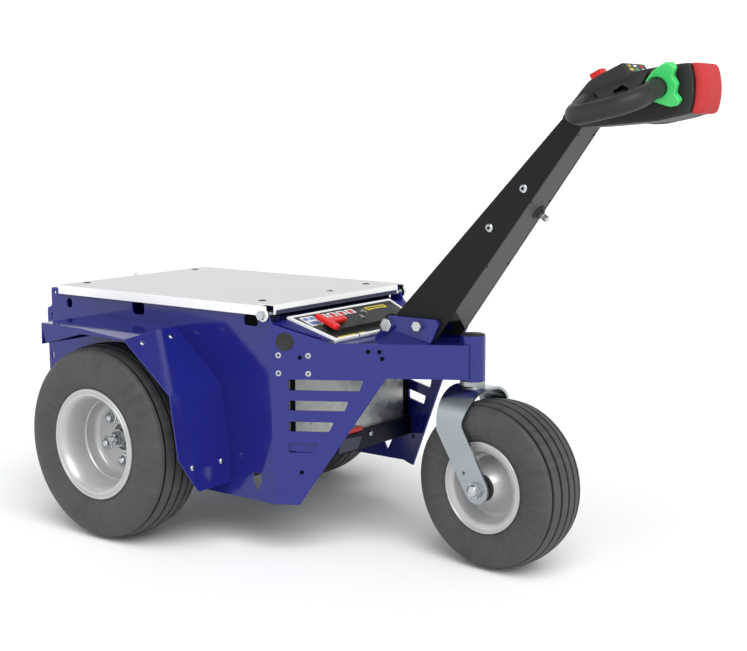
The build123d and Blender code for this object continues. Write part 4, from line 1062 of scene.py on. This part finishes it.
@dataclass
class Castor:
    """The castor: ribbed tyre, pressed rim, bearing seals, domed axle ends and the head tube's cap."""

    turn: float = -5.3
    head_x: float = 691.0
    head_top: float = 450.0
    trail: float = 65.5
    radius: float = 165.0
    hub_face: float = 50.0
    nut_face: float = 81.0
    tyre: Tyre = field(default_factory=lambda: Tyre(165, 122, 90.2, 50.8, 74.2, (-42, -21, 0, 21, 42)))
    # Right half of the pressed rim's section: distance out along the axle and radius
    rim: Profile = (
        (51, 74), (51.2, 89.8), (54, 90), (55, 89), (55, 86.4), (53.6, 85), (53.6, 83.6), (54.6, 82),
        (53.6, 77), (50, 71.5), (42, 68), (30, 66), (20, 63), (16, 57), (19, 49), (30, 40), (43, 32),
        (50, 27), (50, 10.3),
    )
    seal: Profile = ((0, 18.5), (0, 26.5), (3, 26.5), (4.5, 25), (4.5, 20), (3.5, 18.5))
    axle_dome: Profile = ((0, 0), (0, 12.5), (2.5, 12.5), (6, 10.5), (8, 6.5), (8.8, 0))
    head_cap: Profile = ((-6, 0), (-6, 17.6), (0.1, 17.6), (0.1, 23.4), (1.6, 23.4), (2.6, 20), (2.8, 0))

    def facing(self, reach: float, side: Side) -> Matrix:
        """Give the placing of a piece on the castor's axle.

        Args:
            reach: Distance out from the wheel's middle.
            side: The side that it faces.

        Returns:
            The placing, with z pointing out along the axle.
        """
        angle = radians(self.turn)
        ahead = Vector((cos(angle), sin(angle), 0))
        out = Vector((sin(angle), -cos(angle), 0)) * -side.value
        centre = spot(self.head_x, 0, self.radius) + (ahead * self.trail + out * reach) * MM
        return seat(centre, out, ahead)

    def build(self) -> Iterator[Item]:
        """Build the castor's pieces.

        Yields:
            Each piece's object.
        """
        wheel = Body.CASTOR_WHEEL
        middle = self.facing(0, Side.RIGHT)
        yield self.tyre.build("ribbed_castor_tyre", middle, wheel, "castor_tyre")
        yield self.tyre.build_grooves("tread_grooves_castor", middle, wheel)
        section = [*self.rim, *((-reach, radius) for reach, radius in reversed(self.rim))]
        rim = Piece("pressed_castor_rim").turned(section, RIM_SEGMENTS, closed=True)
        yield rim.place(middle, RIM_LACQUER, wheel, "rim_paint", ("castor_rim",))
        for side in Side:
            seal = Piece(f"bearing_seal_{side.label}").turned(self.seal, segments=48, closed=True)
            yield seal.place(self.facing(self.hub_face, side), BLACK_RUBBER, wheel, "black_rubber")
            dome = Piece(f"axle_cap_{side.label}").turned(self.axle_dome)
            yield dome.place(self.facing(self.nut_face, side), BOLT_ZINC, Body.CASTOR, "bolt_steel")
        cap = Piece("head_tube_cap").turned(self.head_cap, segments=48)
        placing = seat(spot(self.head_x, 0, self.head_top), UP, AHEAD)
        yield cap.place(placing, BLACK_RUBBER, Body.CHASSIS, "black_rubber")


@dataclass(frozen=True)
class ButtonScrew:
    """A button-head screw with a hexagon socket."""

    radius: float
    height: float
    socket: float
    # Height of the head's wall, height and radius of its dome, and the rim round its socket
    wall_share: float = 0.35
    dome_share: float = 0.8
    rim_share: float = 1.25

    def piece(self, name: str) -> Piece:
        """Build the screw's head.

        Args:
            name: The piece's name.

        Returns:
            The screw's piece.
        """
        dome = (self.height * self.dome_share, self.radius * self.dome_share)
        return Piece(name).turned([
            (0, self.radius), (self.height * self.wall_share, self.radius), dome,
            (self.height, self.socket * self.rim_share), (self.height, self.socket),
            (-self.height, self.socket), (-self.height, 0),
        ], segments=24)


@dataclass
class Fender:
    """A folded fender: a sheet with a soft crease across its front bend, and its screws."""

    side: Side
    # Folds of the sheet seen from the side, from its rear flange to its front foot
    line: tuple[Point, ...] = (
        (-153, 401), (-152, 446), (103, 443), (228, 335), (248, 207), (250, 133),
    )
    inner: float = 223.3
    edge: float = 370.0
    foot_edge: float = 319.0
    crease_y: float = 274.0
    crease_drop: float = 9.5
    skirt_front: float = -26.0
    skirt_foot: Point = (-140, 403)
    sheet: float = 3.0
    screw: ButtonScrew = ButtonScrew(5.5, 3.0, 2.6)
    # The way the front foot faces
    foot_way: Place = (1.0, 0.0, 0.02)
    # Screws: x, distance out, z, and whether they sit on the front bend
    screws: tuple[tuple[float, float, float, bool], ...] = (
        (120.4, 337.7, 423.3, True), (121.7, 259.2, 426.8, True),
        (249.0, 334.0, 185.0, False), (249.0, 252.0, 182.0, False),
    )

    def build(self) -> Iterator[Item]:
        """Build the fender's sheet and screws.

        Yields:
            Each piece's object.
        """
        yield self.build_sheet()
        for count in range(len(self.screws)):
            yield self.build_screw(count)

    def build_sheet(self) -> Item:
        """Build the folded sheet in the place of its CAD solid.

        Returns:
            The sheet's object.
        """
        piece = Piece(f"folded_fender_{self.side.label}")
        sign = self.side.value

        def corner(x: float, out: float, z: float) -> bmesh.types.BMVert:
            """Add one corner of the sheet."""
            return piece.mesh.verts.new((x, out * sign, z))

        (top_x, top_z), (bend_x, bend_z) = self.line[1:3]
        near = [corner(x, self.inner, z) for x, z in self.line]
        outs = [self.edge] * 5 + [self.foot_edge]
        drops = [0, 0, self.crease_drop, 0, 0, 0]
        far = [corner(x, out, z - drop) for (x, z), out, drop in zip(self.line, outs, drops)]
        crease = corner(bend_x, self.crease_y, bend_z)
        rise = (top_z - bend_z) / (bend_x - top_x)
        skirt = corner(self.skirt_front, self.edge, top_z - rise * (self.skirt_front - top_x))
        foot = corner(self.skirt_foot[0], self.edge, self.skirt_foot[1])
        sheets = [
            [near[0], near[1], far[1], far[0]],
            [near[1], near[2], crease, skirt, far[1]],
            [crease, far[2], skirt],
            [near[2], near[3], far[3], crease],
            [crease, far[3], far[2]],
            [near[3], near[4], far[4], far[3]],
            [near[4], near[5], far[5], far[4]],
            [far[1], skirt, foot],
        ]
        for sheet in sheets:
            piece.face(sheet if sign > 0 else sheet[::-1])
        return piece.place(
            Matrix.Translation(spot(0, 0, 0)), BLUE_COAT, Body.CHASSIS, "blue_paint",
            (f"fender_{self.side.label}",), round_edge=0.7, sheet=self.sheet,
        )

    def build_screw(self, count: int) -> Item:
        """Build one of the fender's screws.

        Args:
            count: Which screw.

        Returns:
            The screw's object.
        """
        x, out, z, on_bend = self.screws[count]
        (bend_x, bend_z), (low_x, low_z) = self.line[2:4]
        way = Vector((bend_z - low_z, 0, low_x - bend_x)) if on_bend else Vector(self.foot_way)
        placing = seat(spot(x, out * self.side.value, z), way, LEFT)
        piece = self.screw.piece(f"fender_screw_{self.side.label}_{count}")
        return piece.place(placing, BOLT_ZINC, Body.CHASSIS, "bolt_steel")


@dataclass
class SidePlate:
    """Fittings of a side plate: rivet nuts, a grommet, rubber hole plugs whose near-black paints the shade of
    open holes, and the sheets behind its openings.
    """

    side: Side
    fold_x: float = 365.0
    face: float = 223.0
    fold_angle: float = 30.1
    plate: float = 4.0
    # Distance from the fold and height of each fitting
    rivet_nuts: tuple[Point, ...] = ((13, 408), (72.5, 408), (13, 372), (72.5, 372))
    grommet: Point = (26, 435)
    plugs: tuple[Point, ...] = ((56, 404), (191, 417.5), (213.5, 417.5), (219, 404), (57, 172))
    nut_form: Profile = ((-8, 2.6), (-8, 4.3), (0.1, 4.3), (0.1, 5.9), (1.0, 5.6), (1.3, 4.8), (1.1, 2.6))
    grommet_form: Profile = (
        (-7, 0), (-7, 16.7), (0.1, 16.7), (0.1, 18.2), (1.4, 17.8), (2.0, 16.2), (1.2, 14), (0.2, 0),
    )
    plug_form: Profile = ((-5, 0), (-5, 4.3), (-0.8, 4.3), (-1.6, 3.1), (-1.8, 0))
    # Sheet behind the lower vents: start and end from the fold, bottom and top, then its sheet, gap and rivet
    vent_backing: tuple[float, float, float, float] = (24, 98, 204, 240)
    backing_sheet: float = 1.5
    backing_gap: float = 1.7
    backing_corner: float = 4.0
    backing_rivet: Profile = ((1.4, 0), (1.4, 3.6), (3, 3.2), (3.4, 0))
    # Flap behind the hand hole: x, z, length and height, then its corner and its back and front
    flap: tuple[float, float, float, float] = (308, 473, 38, 28)
    flap_corner: float = 6.0
    flap_faces: Point = (-2.2, -0.3)

    def facing(self, along: float, z: float, depth: float = 0.0) -> Matrix:
        """Give the placing of a piece on the folded face.

        Args:
            along: Distance from the fold.
            z: Height.
            depth: Distance behind the face.

        Returns:
            The placing, with z pointing out of the face and x along it.
        """
        sign = self.side.value
        angle = radians(self.fold_angle)
        ahead = Vector((cos(angle), -sign * sin(angle), 0))
        out = Vector((sin(angle), sign * cos(angle), 0))
        return seat(spot(self.fold_x, sign * self.face, z) + (ahead * along - out * depth) * MM, out, ahead)

    def build(self) -> Iterator[Item]:
        """Build the plate's fittings.

        Yields:
            Each piece's object.
        """
        label = self.side.label
        chassis = Body.CHASSIS
        for count, (along, z) in enumerate(self.rivet_nuts):
            nut = Piece(f"rivet_nut_{label}_{count}").turned(self.nut_form, segments=28, closed=True)
            yield nut.place(self.facing(along, z), BOLT_ZINC, chassis, "bolt_steel")
        grommet = Piece(f"grommet_{label}").turned(self.grommet_form, segments=48)
        yield grommet.place(self.facing(*self.grommet), BLACK_RUBBER, chassis, "black_rubber")
        start, end, low, high = self.vent_backing
        backing = Piece(f"vent_backing_{label}")
        backing.plate(rounded(end - start, high - low, self.backing_corner), 0, self.backing_sheet)
        backing.turned(self.backing_rivet, segments=20)
        placing = self.facing((start + end) / 2, (low + high) / 2, self.plate + self.backing_gap)
        yield backing.place(placing, BLUE_COAT, chassis, "blue_paint", round_edge=0.4)
        # Near-black plugs in the holes: rubber plugs whose colour is painted shade, so the holes look dark
        # and open
        for count, (along, z) in enumerate(self.plugs):
            plug = Piece(f"plate_plug_{label}_{count}").turned(self.plug_form, segments=24)
            yield plug.place(self.facing(along, z), MATT_RUBBER_AND_SHADE, chassis, "black_rubber")
        x, z, length, height = self.flap
        sign = self.side.value
        flap = Piece(f"hand_hole_flap_{label}")
        flap.plate(rounded(length, height, self.flap_corner), *self.flap_faces)
        placing = seat(spot(x, sign * (self.face - self.plate), z), LEFT * sign, AHEAD)
        yield flap.place(placing, MATT_RUBBER_AND_SHADE, chassis, "black_rubber", round_edge=0.4)


@dataclass
class BatteryBay:
    """Fittings at the front of the battery box and its tray: bracket, cover, black strips of painted shade at
    the box's ends, and screws.
    """

    box_front: float = 390.0
    tray_front: float = 405.0
    # Fittings stand this far off the sheet that they sit on
    seat_gap: float = 0.1
    bracket: tuple[Point, ...] = ((-69, 183), (-4.5, 181), (13, 206), (-60, 212))
    bracket_top: float = 2.6
    # Cover: y, z, width and height; both this and the strips have the same corners
    cover: tuple[float, float, float, float] = (-3.5, 220.4, 50.0, 10.0)
    cover_top: float = 12.0
    corner: float = 3.0
    # Black strips at both ends of the box's front, painted shade for the gaps behind the vents' ends:
    # distance from the middle, width, bottom and top
    strip: tuple[float, float, float, float] = (191.5, 15.0, 217.0, 423.0)
    strip_top: float = 1.6
    # Screws: x, y, z and radius of the head, whose height and socket are shares of it
    screws: tuple[tuple[float, float, float, float], ...] = (
        (405, 45, 205, 6.0), (390, 77, 261, 3.0), (390, 134.5, 258.4, 3.0), (390, -77, 261, 3.0),
        (390, -134.5, 258.4, 3.0),
    )
    head_share: float = 0.6
    socket_share: float = 0.45

    def build(self) -> Iterator[Item]:
        """Build the bay's fittings.

        Yields:
            Each piece's object.
        """
        chassis = Body.CHASSIS
        strap = Piece("tray_bracket").plate(self.bracket, self.seat_gap, self.bracket_top)
        placing = seat(spot(self.tray_front, 0, 0), AHEAD, LEFT)
        yield strap.place(placing, SLATE_COAT, chassis, "blue_paint", round_edge=0.5)
        y, z, width, height = self.cover
        cover = Piece("terminal_cover")
        cover.plate(rounded(width, height, self.corner), self.seat_gap, self.cover_top)
        placing = seat(spot(self.box_front, y, z), AHEAD, LEFT)
        yield cover.place(placing, RED_PLASTIC, chassis, "red_plastic", round_edge=1.2)
        reach, width, low, high = self.strip
        # Matt black strips at the box's ends: painted shade
        for side in Side:
            strip = Piece(f"box_end_painted_shade_{side.label}")
            strip.plate(rounded(width, high - low, self.corner), self.seat_gap, self.strip_top)
            placing = seat(spot(self.box_front, reach * side.value, (low + high) / 2), AHEAD, LEFT)
            yield strip.place(placing, MATT_RUBBER_AND_SHADE, chassis, "black_rubber", round_edge=0.4)
        for count, (x, y, z, radius) in enumerate(self.screws):
            screw = ButtonScrew(radius, radius * self.head_share, radius * self.socket_share)
            placing = seat(spot(x, y, z), AHEAD, LEFT)
            yield screw.piece(f"bay_screw_{count}").place(placing, BOLT_ZINC, chassis, "bolt_steel")


@dataclass
class Deck:
    """Fittings of the deck: screw, hole plugs, lip trim, washers and pads in its ears, and the catch stud."""

    top: float = 506.0
    screw: ButtonScrew = ButtonScrew(7.0, 3.2, 3.0)
    screw_place: Point = (315.0, 22.8)
    holes: tuple[Point, ...] = ((297, 172), (297, -172), (-233, 172), (-233, -172))
    plug_form: Profile = ((-6, 0), (-6, 6.8), (0.05, 6.8), (0.05, 8.5), (0.7, 8), (1.1, 5), (1.2, 0))
    stud_place: Place = (-271.0, 13.0, 480.0)
    stud: Profile = ((0.1, 0), (0.1, 9), (3, 9), (3, 6), (23, 6), (27.5, 4.2), (29.5, 0))
    # The hinge ears: x and z of the bolt and the inner face of the ear
    hinge: Point = (349.0, 487.0)
    ear_face: float = 227.9
    washer: Profile = ((0, 8.4), (0, 12.6), (2.4, 12.6), (3, 12), (3, 8.4))
    # Pad above the bolt, from it: outline ahead and up, and its height
    pad: Profile = ((-12, 9.5), (9.4, 9.5), (9.4, 15.4), (-12, 15.4))
    pad_top: float = 1.3
    # Trim on the lower half of the front lip: x of the lip, height of its middle, length and height
    trim: tuple[float, float, float, float] = (359.0, 490.2, 404.0, 8.4)
    trim_corner: float = 2.0
    trim_faces: Point = (0.1, 1.0)

    def build(self) -> Iterator[Item]:
        """Build the deck's fittings.

        Yields:
            Each piece's object.
        """
        screw = self.screw.piece("deck_screw")
        placing = seat(spot(*self.screw_place, self.top), UP, AHEAD)
        yield screw.place(placing, BOLT_ZINC, Body.DECK, "bolt_steel")
        stud = Piece("catch_stud").turned(self.stud)
        yield stud.place(seat(spot(*self.stud_place), UP, AHEAD), BOLT_ZINC, Body.CHASSIS, "bolt_steel")
        for count, (x, y) in enumerate(self.holes):
            plug = Piece(f"hole_plug_{count}").turned(self.plug_form)
            yield plug.place(seat(spot(x, y, self.top), UP, AHEAD), MATT_RUBBER_AND_SHADE, Body.DECK, "black_rubber")
        x, z, length, height = self.trim
        trim = Piece("lip_edge_trim").plate(rounded(length, height, self.trim_corner), *self.trim_faces)
        placing = seat(spot(x, 0, z), AHEAD, LEFT)
        yield trim.place(placing, SLATE_RUBBER, Body.DECK, "black_rubber", round_edge=0.3)
        x, z = self.hinge
        for side in Side:
            placing = seat(spot(x, side.value * self.ear_face, z), LEFT * -side.value, AHEAD)
            washer = Piece(f"ear_washer_{side.label}").turned(self.washer, closed=True)
            yield washer.place(placing, MATT_RUBBER_AND_SHADE, Body.DECK, "black_rubber")
            pad = Piece(f"ear_pad_{side.label}")
            pad.plate([(along, side.value * rise) for along, rise in self.pad], 0, self.pad_top)
            yield pad.place(placing, MATT_RUBBER_AND_SHADE, Body.DECK, "black_rubber", round_edge=0.3)


@dataclass
class TillerArm:
    """Fittings of the tiller's arm: side screws, latch pin and collar, front plate and its rivets."""

    low_z: float = 463.0
    high_z: float = 865.0
    low_half: float = 49.0
    high_half: float = 36.0
    screw: ButtonScrew = ButtonScrew(8.0, 3.2, 3.4)
    screws: tuple[Point, ...] = ((824.6, 738.6), (753.0, 663.6))
    latch: Place = (821.8, 20.0, 692.9)
    collar: Profile = (
        (0, 0), (0, 15.5), (2.5, 15.5), (3.5, 14.5), (5, 11), (8, 10), (8, 7), (6, 6.2), (6, 0),
    )
    pin: Profile = ((5.9, 0), (5.9, 6.2), (14, 6.2), (15, 5.4), (16, 6.2), (23, 6.2), (25, 4.8), (25, 0))
    # The front plate: its foot on the arm's front fold, the starts of its sides, its top and its sheet
    plate_foot: Point = (633.0, 437.0)
    plate_right: float = 78.0
    plate_left: float = 18.0
    plate_top: float = 526.0
    plate_inset: float = 4.4
    plate_sheet: float = 0.9
    # Rivets: distance up the plate of each pair, distance in from the plate's edge and form
    rivets: tuple[float, ...] = (190.0, 344.0, 497.0)
    rivet_inset: float = 3.0
    rivet: Profile = ((-0.5, 0), (-0.5, 2.4), (0.1, 2.4), (0.5, 1.6), (0.3, 0))
    face_way: Place = (0.8028, 0.0, -0.5963)

    def half(self, z: float) -> float:
        """Give the arm's half width at this height."""
        share = (z - self.low_z) / (self.high_z - self.low_z)
        return self.low_half + (self.high_half - self.low_half) * share

    def plate_half(self, up: float) -> float:
        """Give the front plate's half width this far up it."""
        return self.half(self.plate_foot[1] + up * self.face_way[0]) - self.plate_inset

    def plate_placing(self, up: float, across: float) -> Matrix:
        """Give a placing on the arm's front.

        Args:
            up: Distance up the front from its foot.
            across: Distance to the right.

        Returns:
            The placing, with z pointing out of the front and x up it.
        """
        out = Vector(self.face_way)
        rise = Vector((-out.z, 0, out.x))
        foot = spot(self.plate_foot[0], -across, self.plate_foot[1])
        return seat(foot + rise * up * MM, out, rise)

    def build(self) -> Iterator[Item]:
        """Build the arm's fittings.

        Yields:
            Each piece's object.
        """
        lean = (self.low_half - self.high_half) / (self.high_z - self.low_z)
        for side in Side:
            for count, (x, z) in enumerate(self.screws):
                placing = seat(spot(x, self.half(z) * side.value, z), Vector((0, side.value, lean)), AHEAD)
                screw = self.screw.piece(f"arm_screw_{side.label}_{count}")
                yield screw.place(placing, BOLT_ZINC, Body.TILLER, "bolt_steel")
        placing = seat(spot(*self.latch), Vector(self.face_way), LEFT)
        collar = Piece("latch_collar").turned(self.collar, segments=40)
        yield collar.place(placing, BLACK_RUBBER, Body.TILLER, "black_rubber", ("arm_knob",))
        pin = Piece("latch_pin").turned(self.pin)
        yield pin.place(placing, BOLT_ZINC, Body.TILLER, "bolt_steel")
        yield self.build_plate()
        for side in Side:
            for count, up in enumerate(self.rivets):
                rivet = Piece(f"arm_rivet_{side.label}_{count}").turned(self.rivet, segments=20)
                placing = self.plate_placing(up, -side.value * (self.plate_half(up) - self.rivet_inset))
                yield rivet.place(placing, MATT_RUBBER_AND_SHADE, Body.TILLER, "black_rubber")

    def build_plate(self) -> Item:
        """Build the plate let into the arm's front, grey as painted light on the arm's black.

        Returns:
            The plate's object.
        """
        corners = ((self.plate_left, -1), (self.plate_right, 1), (self.plate_top, 1), (self.plate_top, -1))
        outline = [(up, way * self.plate_half(up)) for up, way in corners]
        plate = Piece("arm_front_plate").plate(outline, -self.plate_sheet, 0.0)
        return plate.place(self.plate_placing(0, 0), ARM_COAT_PAINTED_LIGHT, Body.TILLER, "arm_paint", round_edge=0.3)


@dataclass
class TillerHead:
    """Fittings of the tiller's head: film patches on its display and the sloped shelves of its grips."""

    foot: Point = (1032.0, 941.0)
    crest: Point = (1019.0, 960.0)
    display_height: float = 1.5
    # Patches on the display: distance up its face from the middle, y, height, width, finish
    patches: tuple[tuple[float, float, float, float, Finish], ...] = (
        (4.0, -26, 4, 9, YELLOW_FILM), (4.0, -4, 4, 12, WHITE_FILM), (-3.6, -24, 5, 13, YELLOW_FILM),
        (-3.6, -3, 5, 13, GREEN_FILM), (4.0, 22, 4, 9, RED_FILM), (-3.6, 22, 5, 10, WHITE_FILM),
    )
    patch_corner: float = 0.8
    patch_top: float = 0.35
    # The shelf of a grip: a point on it, its rise ahead and its fall outwards, and its outline and window
    shelf_seat: Place = (1003.0, 46.0, 923.0)
    shelf_rise: float = 0.3
    shelf_fall: float = 0.75
    shelf_sheet: float = 5.0
    shelf: tuple[Point, ...] = ((963, 40), (1012, 94), (1040, 99), (1069, 99), (1070, 60), (1068, 40))
    window: tuple[Point, ...] = ((1012, 61), (1022, 76), (1034, 84), (1047, 83), (1050, 71), (1024, 52))

    def build(self) -> Iterator[Item]:
        """Build the head's fittings.

        Yields:
            Each piece's object.
        """
        for side in Side:
            yield self.build_shelf(side)
        (foot_x, foot_z), (crest_x, crest_z) = self.foot, self.crest
        up = Vector((crest_x - foot_x, 0, crest_z - foot_z))
        out = Vector((up.z, 0, -up.x)).normalized()
        middle = spot((foot_x + crest_x) / 2, 0, (foot_z + crest_z) / 2)
        placing = seat(middle + out * self.display_height * MM, out, up)
        for count, (rise, y, height, width, finish) in enumerate(self.patches):
            shape = rounded(height, width, self.patch_corner, 2)
            patch = Piece(f"display_patch_{count}")
            patch.plate([(x + rise, across - y) for x, across in shape], 0, self.patch_top)
            yield patch.place(placing, finish, Body.TILLER, "display_face", round_edge=0.1)

    def build_shelf(self, side: Side) -> Item:
        """Build the sloped shelf between the head and a grip, with its window.

        Args:
            side: The grip's side.

        Returns:
            The shelf's object.
        """
        x, out, z = self.shelf_seat
        sign = side.value
        outer, inner = (
            [(ahead - x, sign * (reach - out)) for ahead, reach in line] for line in (self.shelf, self.window)
        )
        piece = Piece(f"grip_shelf_{side.label}").border(outer, inner, -self.shelf_sheet, 0)
        slope = Matrix.Identity(4)
        slope[2][0], slope[2][1] = self.shelf_rise, -sign * self.shelf_fall
        bmesh.ops.transform(piece.mesh, matrix=slope, verts=piece.mesh.verts)
        placing = Matrix.Translation(spot(x, sign * out, z))
        return piece.place(placing, BLACK_PLASTIC, Body.TILLER, "black_moulding", round_edge=1.2)


@dataclass
class ControlPanel:
    """The sloped panel's frame, its black overlay, its plain film patches and its screw."""

    rear_x: float = 361.0
    rear_z: float = 476.5
    slope: float = 20.0
    length: float = 116.0
    rear_half: float = 172.0
    front_half: float = 148.0
    # The frame: how far its outer and inner edges are set in, and its height
    frame_inset: float = 0.3
    frame_width: float = 6.5
    frame_top: float = 2.2
    # The overlay: its gap to the frame and its height
    overlay_gap: float = 0.4
    overlay_top: float = 1.0
    # Film patches: start and end down the slope, right and left y, finish
    patches: tuple[tuple[float, float, float, float, Finish], ...] = (
        (12, 50, -149, -108, WHITE_FILM), (13, 33, -96, -71, WHITE_FILM), (13, 33, -66, -41, WHITE_FILM),
        (13, 33, -36, -11, WHITE_FILM), (13, 33, -6, 19, WHITE_FILM), (17, 37, 58, 126, YELLOW_FILM),
        (105, 108, -135, -47, YELLOW_FILM), (17, 27, -145, -131, BLUE_FILM), (17, 27, -126, -112, BLUE_FILM),
        (34, 46, -143, -114, BLUE_FILM), (16, 29, -91, -77, RED_FILM), (16, 29, -61, -47, RED_FILM),
        (16, 29, -31, -17, RED_FILM), (16, 29, -1, 13, RED_FILM), (21, 25, 62, 121, BLACK_FILM),
        (29, 32, 70, 114, BLACK_FILM),
    )
    # Patches start inside the overlay; the pale ones lie under the marks on them
    patch_base: float = 0.9
    pale_top: float = 1.35
    mark_top: float = 1.6
    patch_corner: float = 1.0
    screw: ButtonScrew = ButtonScrew(5.0, 3.0, 2.2)
    screw_place: Place = (112.0, -77.0, 0.9)

    def placing(self) -> Matrix:
        """Give the panel's seat.

        Returns:
            The placing, with x down the slope and z out of it.
        """
        angle = radians(self.slope)
        out, down = Vector((sin(angle), 0, cos(angle))), Vector((cos(angle), 0, -sin(angle)))
        return seat(spot(self.rear_x, 0, self.rear_z), out, down)

    def outline(self, inset: float) -> list[Point]:
        """Give the panel's outline.

        Args:
            inset: How far it is set in from the panel's edges.

        Returns:
            Its corners, from the rear right one.
        """
        narrowing = (self.rear_half - self.front_half) / self.length
        rear = self.rear_half - narrowing * inset - inset
        front = self.front_half + narrowing * inset - inset
        return [(inset, -rear), (self.length - inset, -front), (self.length - inset, front), (inset, rear)]

    def build(self) -> Iterator[Item]:
        """Build the panel's pieces.

        Yields:
            Each piece's object.
        """
        chassis = Body.CHASSIS
        placing = self.placing()
        outer, inner = self.outline(self.frame_inset), self.outline(self.frame_width)
        rim = Piece("panel_frame").border(outer, inner, 0, self.frame_top)
        yield rim.place(placing, PANEL_SHEET, chassis, "panel_sheet", round_edge=0.6)
        cover = Piece("panel_overlay")
        cover.plate(self.outline(self.frame_width + self.overlay_gap), 0, self.overlay_top)
        yield cover.place(placing, BLACK_FILM, chassis, "display_face", round_edge=0.3)
        for count, (start, end, right, left, finish) in enumerate(self.patches):
            x, y = (start + end) / 2, (right + left) / 2
            shape = rounded(end - start, left - right, self.patch_corner, 2)
            top = self.pale_top if finish in (WHITE_FILM, YELLOW_FILM) else self.mark_top
            patch = Piece(f"panel_patch_{count}")
            patch.plate([(down + x, across + y) for down, across in shape], self.patch_base, top)
            yield patch.place(placing, finish, chassis, "display_face", round_edge=0.1)
        screw = self.screw.piece("panel_screw")
        shift = Matrix.Translation(Vector(self.screw_place) * MM)
        yield screw.place(placing @ shift, BOLT_ZINC, chassis, "bolt_steel")


@dataclass
class Studio:
    """A pale floor, soft light from above and ahead, and the camera."""

    floor_half: float = 9000.0
    eye: Place = (1686.07, -2152.94, 854.97)
    azimuth: float = 37.16
    pitch: float = 8.59
    roll: float = -0.27
    lens: float = 63.905
    sensor: float = 36.0
    horizon_strength: float = 1.22
    horizon_tint: tuple[float, float, float, float] = (0.975, 1.0, 0.99, 1.0)
    sky_strength: float = 0.34
    # Sines of the heights between which the surround fades from the horizon to the sky
    sky_start: float = 0.25
    sky_end: float = 0.65
    sun_strength: float = 2.6
    sun_spread: float = 50.0
    sun_from: Place = (0.62, -0.5, 1.0)

    def build(self) -> None:
        """Build the studio."""
        self.build_floor()
        self.build_sky()
        self.build_sun()
        self.build_camera()

    def build_floor(self) -> None:
        """Lay the floor, wide enough to fill the view."""
        data = bpy.data.meshes.new("studio_floor")
        half = self.floor_half * MM
        corners = [(-half, -half, 0), (half, -half, 0), (half, half, 0), (-half, half, 0)]
        data.from_pydata(corners, [], [(0, 1, 2, 3)])
        data.materials.append(STUDIO_FLOOR.material())
        floor = bpy.data.objects.new("studio_floor", data)
        bpy.context.scene.collection.objects.link(floor)

    def build_sky(self) -> None:
        """Light the scene from an even white surround, brighter at the horizon."""
        world = bpy.data.worlds.new("studio_surround")
        bpy.context.scene.world = world
        world.use_nodes = True
        tree = world.node_tree
        way = add_node(tree, "ShaderNodeTexCoord").outputs["Generated"]
        height = add_node(tree, "ShaderNodeSeparateXYZ", {0: way}).outputs[2]
        level = add_node(tree, RANGE, {
            "Value": height, "From Min": self.sky_start, "From Max": self.sky_end,
            "To Min": self.horizon_strength, "To Max": self.sky_strength,
        })
        fill(tree.nodes["Background"], {"Color": self.horizon_tint, "Strength": level})

    def build_sun(self) -> None:
        """Add one broad soft light from above, ahead and to the right."""
        data = bpy.data.lights.new("soft_top_light", "SUN")
        data.energy = self.sun_strength
        data.angle = radians(self.sun_spread)
        light = bpy.data.objects.new("soft_top_light", data)
        bpy.context.scene.collection.objects.link(light)
        light.rotation_euler = Vector(self.sun_from).to_track_quat("Z", "Y").to_euler()

    def build_camera(self) -> None:
        """Stand the camera where the photograph was taken."""
        data = bpy.data.cameras.new("photo_camera")
        data.sensor_fit = "HORIZONTAL"
        data.sensor_width = self.sensor
        data.lens = self.lens
        camera = bpy.data.objects.new("photo_camera", data)
        bpy.context.scene.collection.objects.link(camera)
        turn = Matrix.Rotation(radians(self.azimuth), 4, "Z")
        tip = Matrix.Rotation(radians(90 - self.pitch), 4, "X")
        lean = Matrix.Rotation(radians(self.roll), 4, "Z")
        camera.matrix_world = Matrix.Translation(Vector(self.eye) * MM) @ turn @ tip @ lean
        bpy.context.scene.camera = camera


def write_sizes() -> None:
    bpy.context.view_layer.update()


def main() -> None:
    """Build the studio and every sub-assembly, and report each piece."""
    logging.basicConfig(level=logging.INFO, format="%(message)s")
    bpy.context.scene.view_settings.view_transform = "Standard"
    Studio().build()
    assemblies = [Solids(), Castor(), BatteryBay(), Deck(), TillerArm(), TillerHead(), ControlPanel()]
    for side in Side:
        assemblies += [DrivenWheel(side), Fender(side), SidePlate(side)]
    for assembly in assemblies:
        for piece in assembly.build():
            LOG.info("%s: %s", type(assembly).__name__, piece.name)
    write_sizes()


if __name__ == "__main__":
    main()
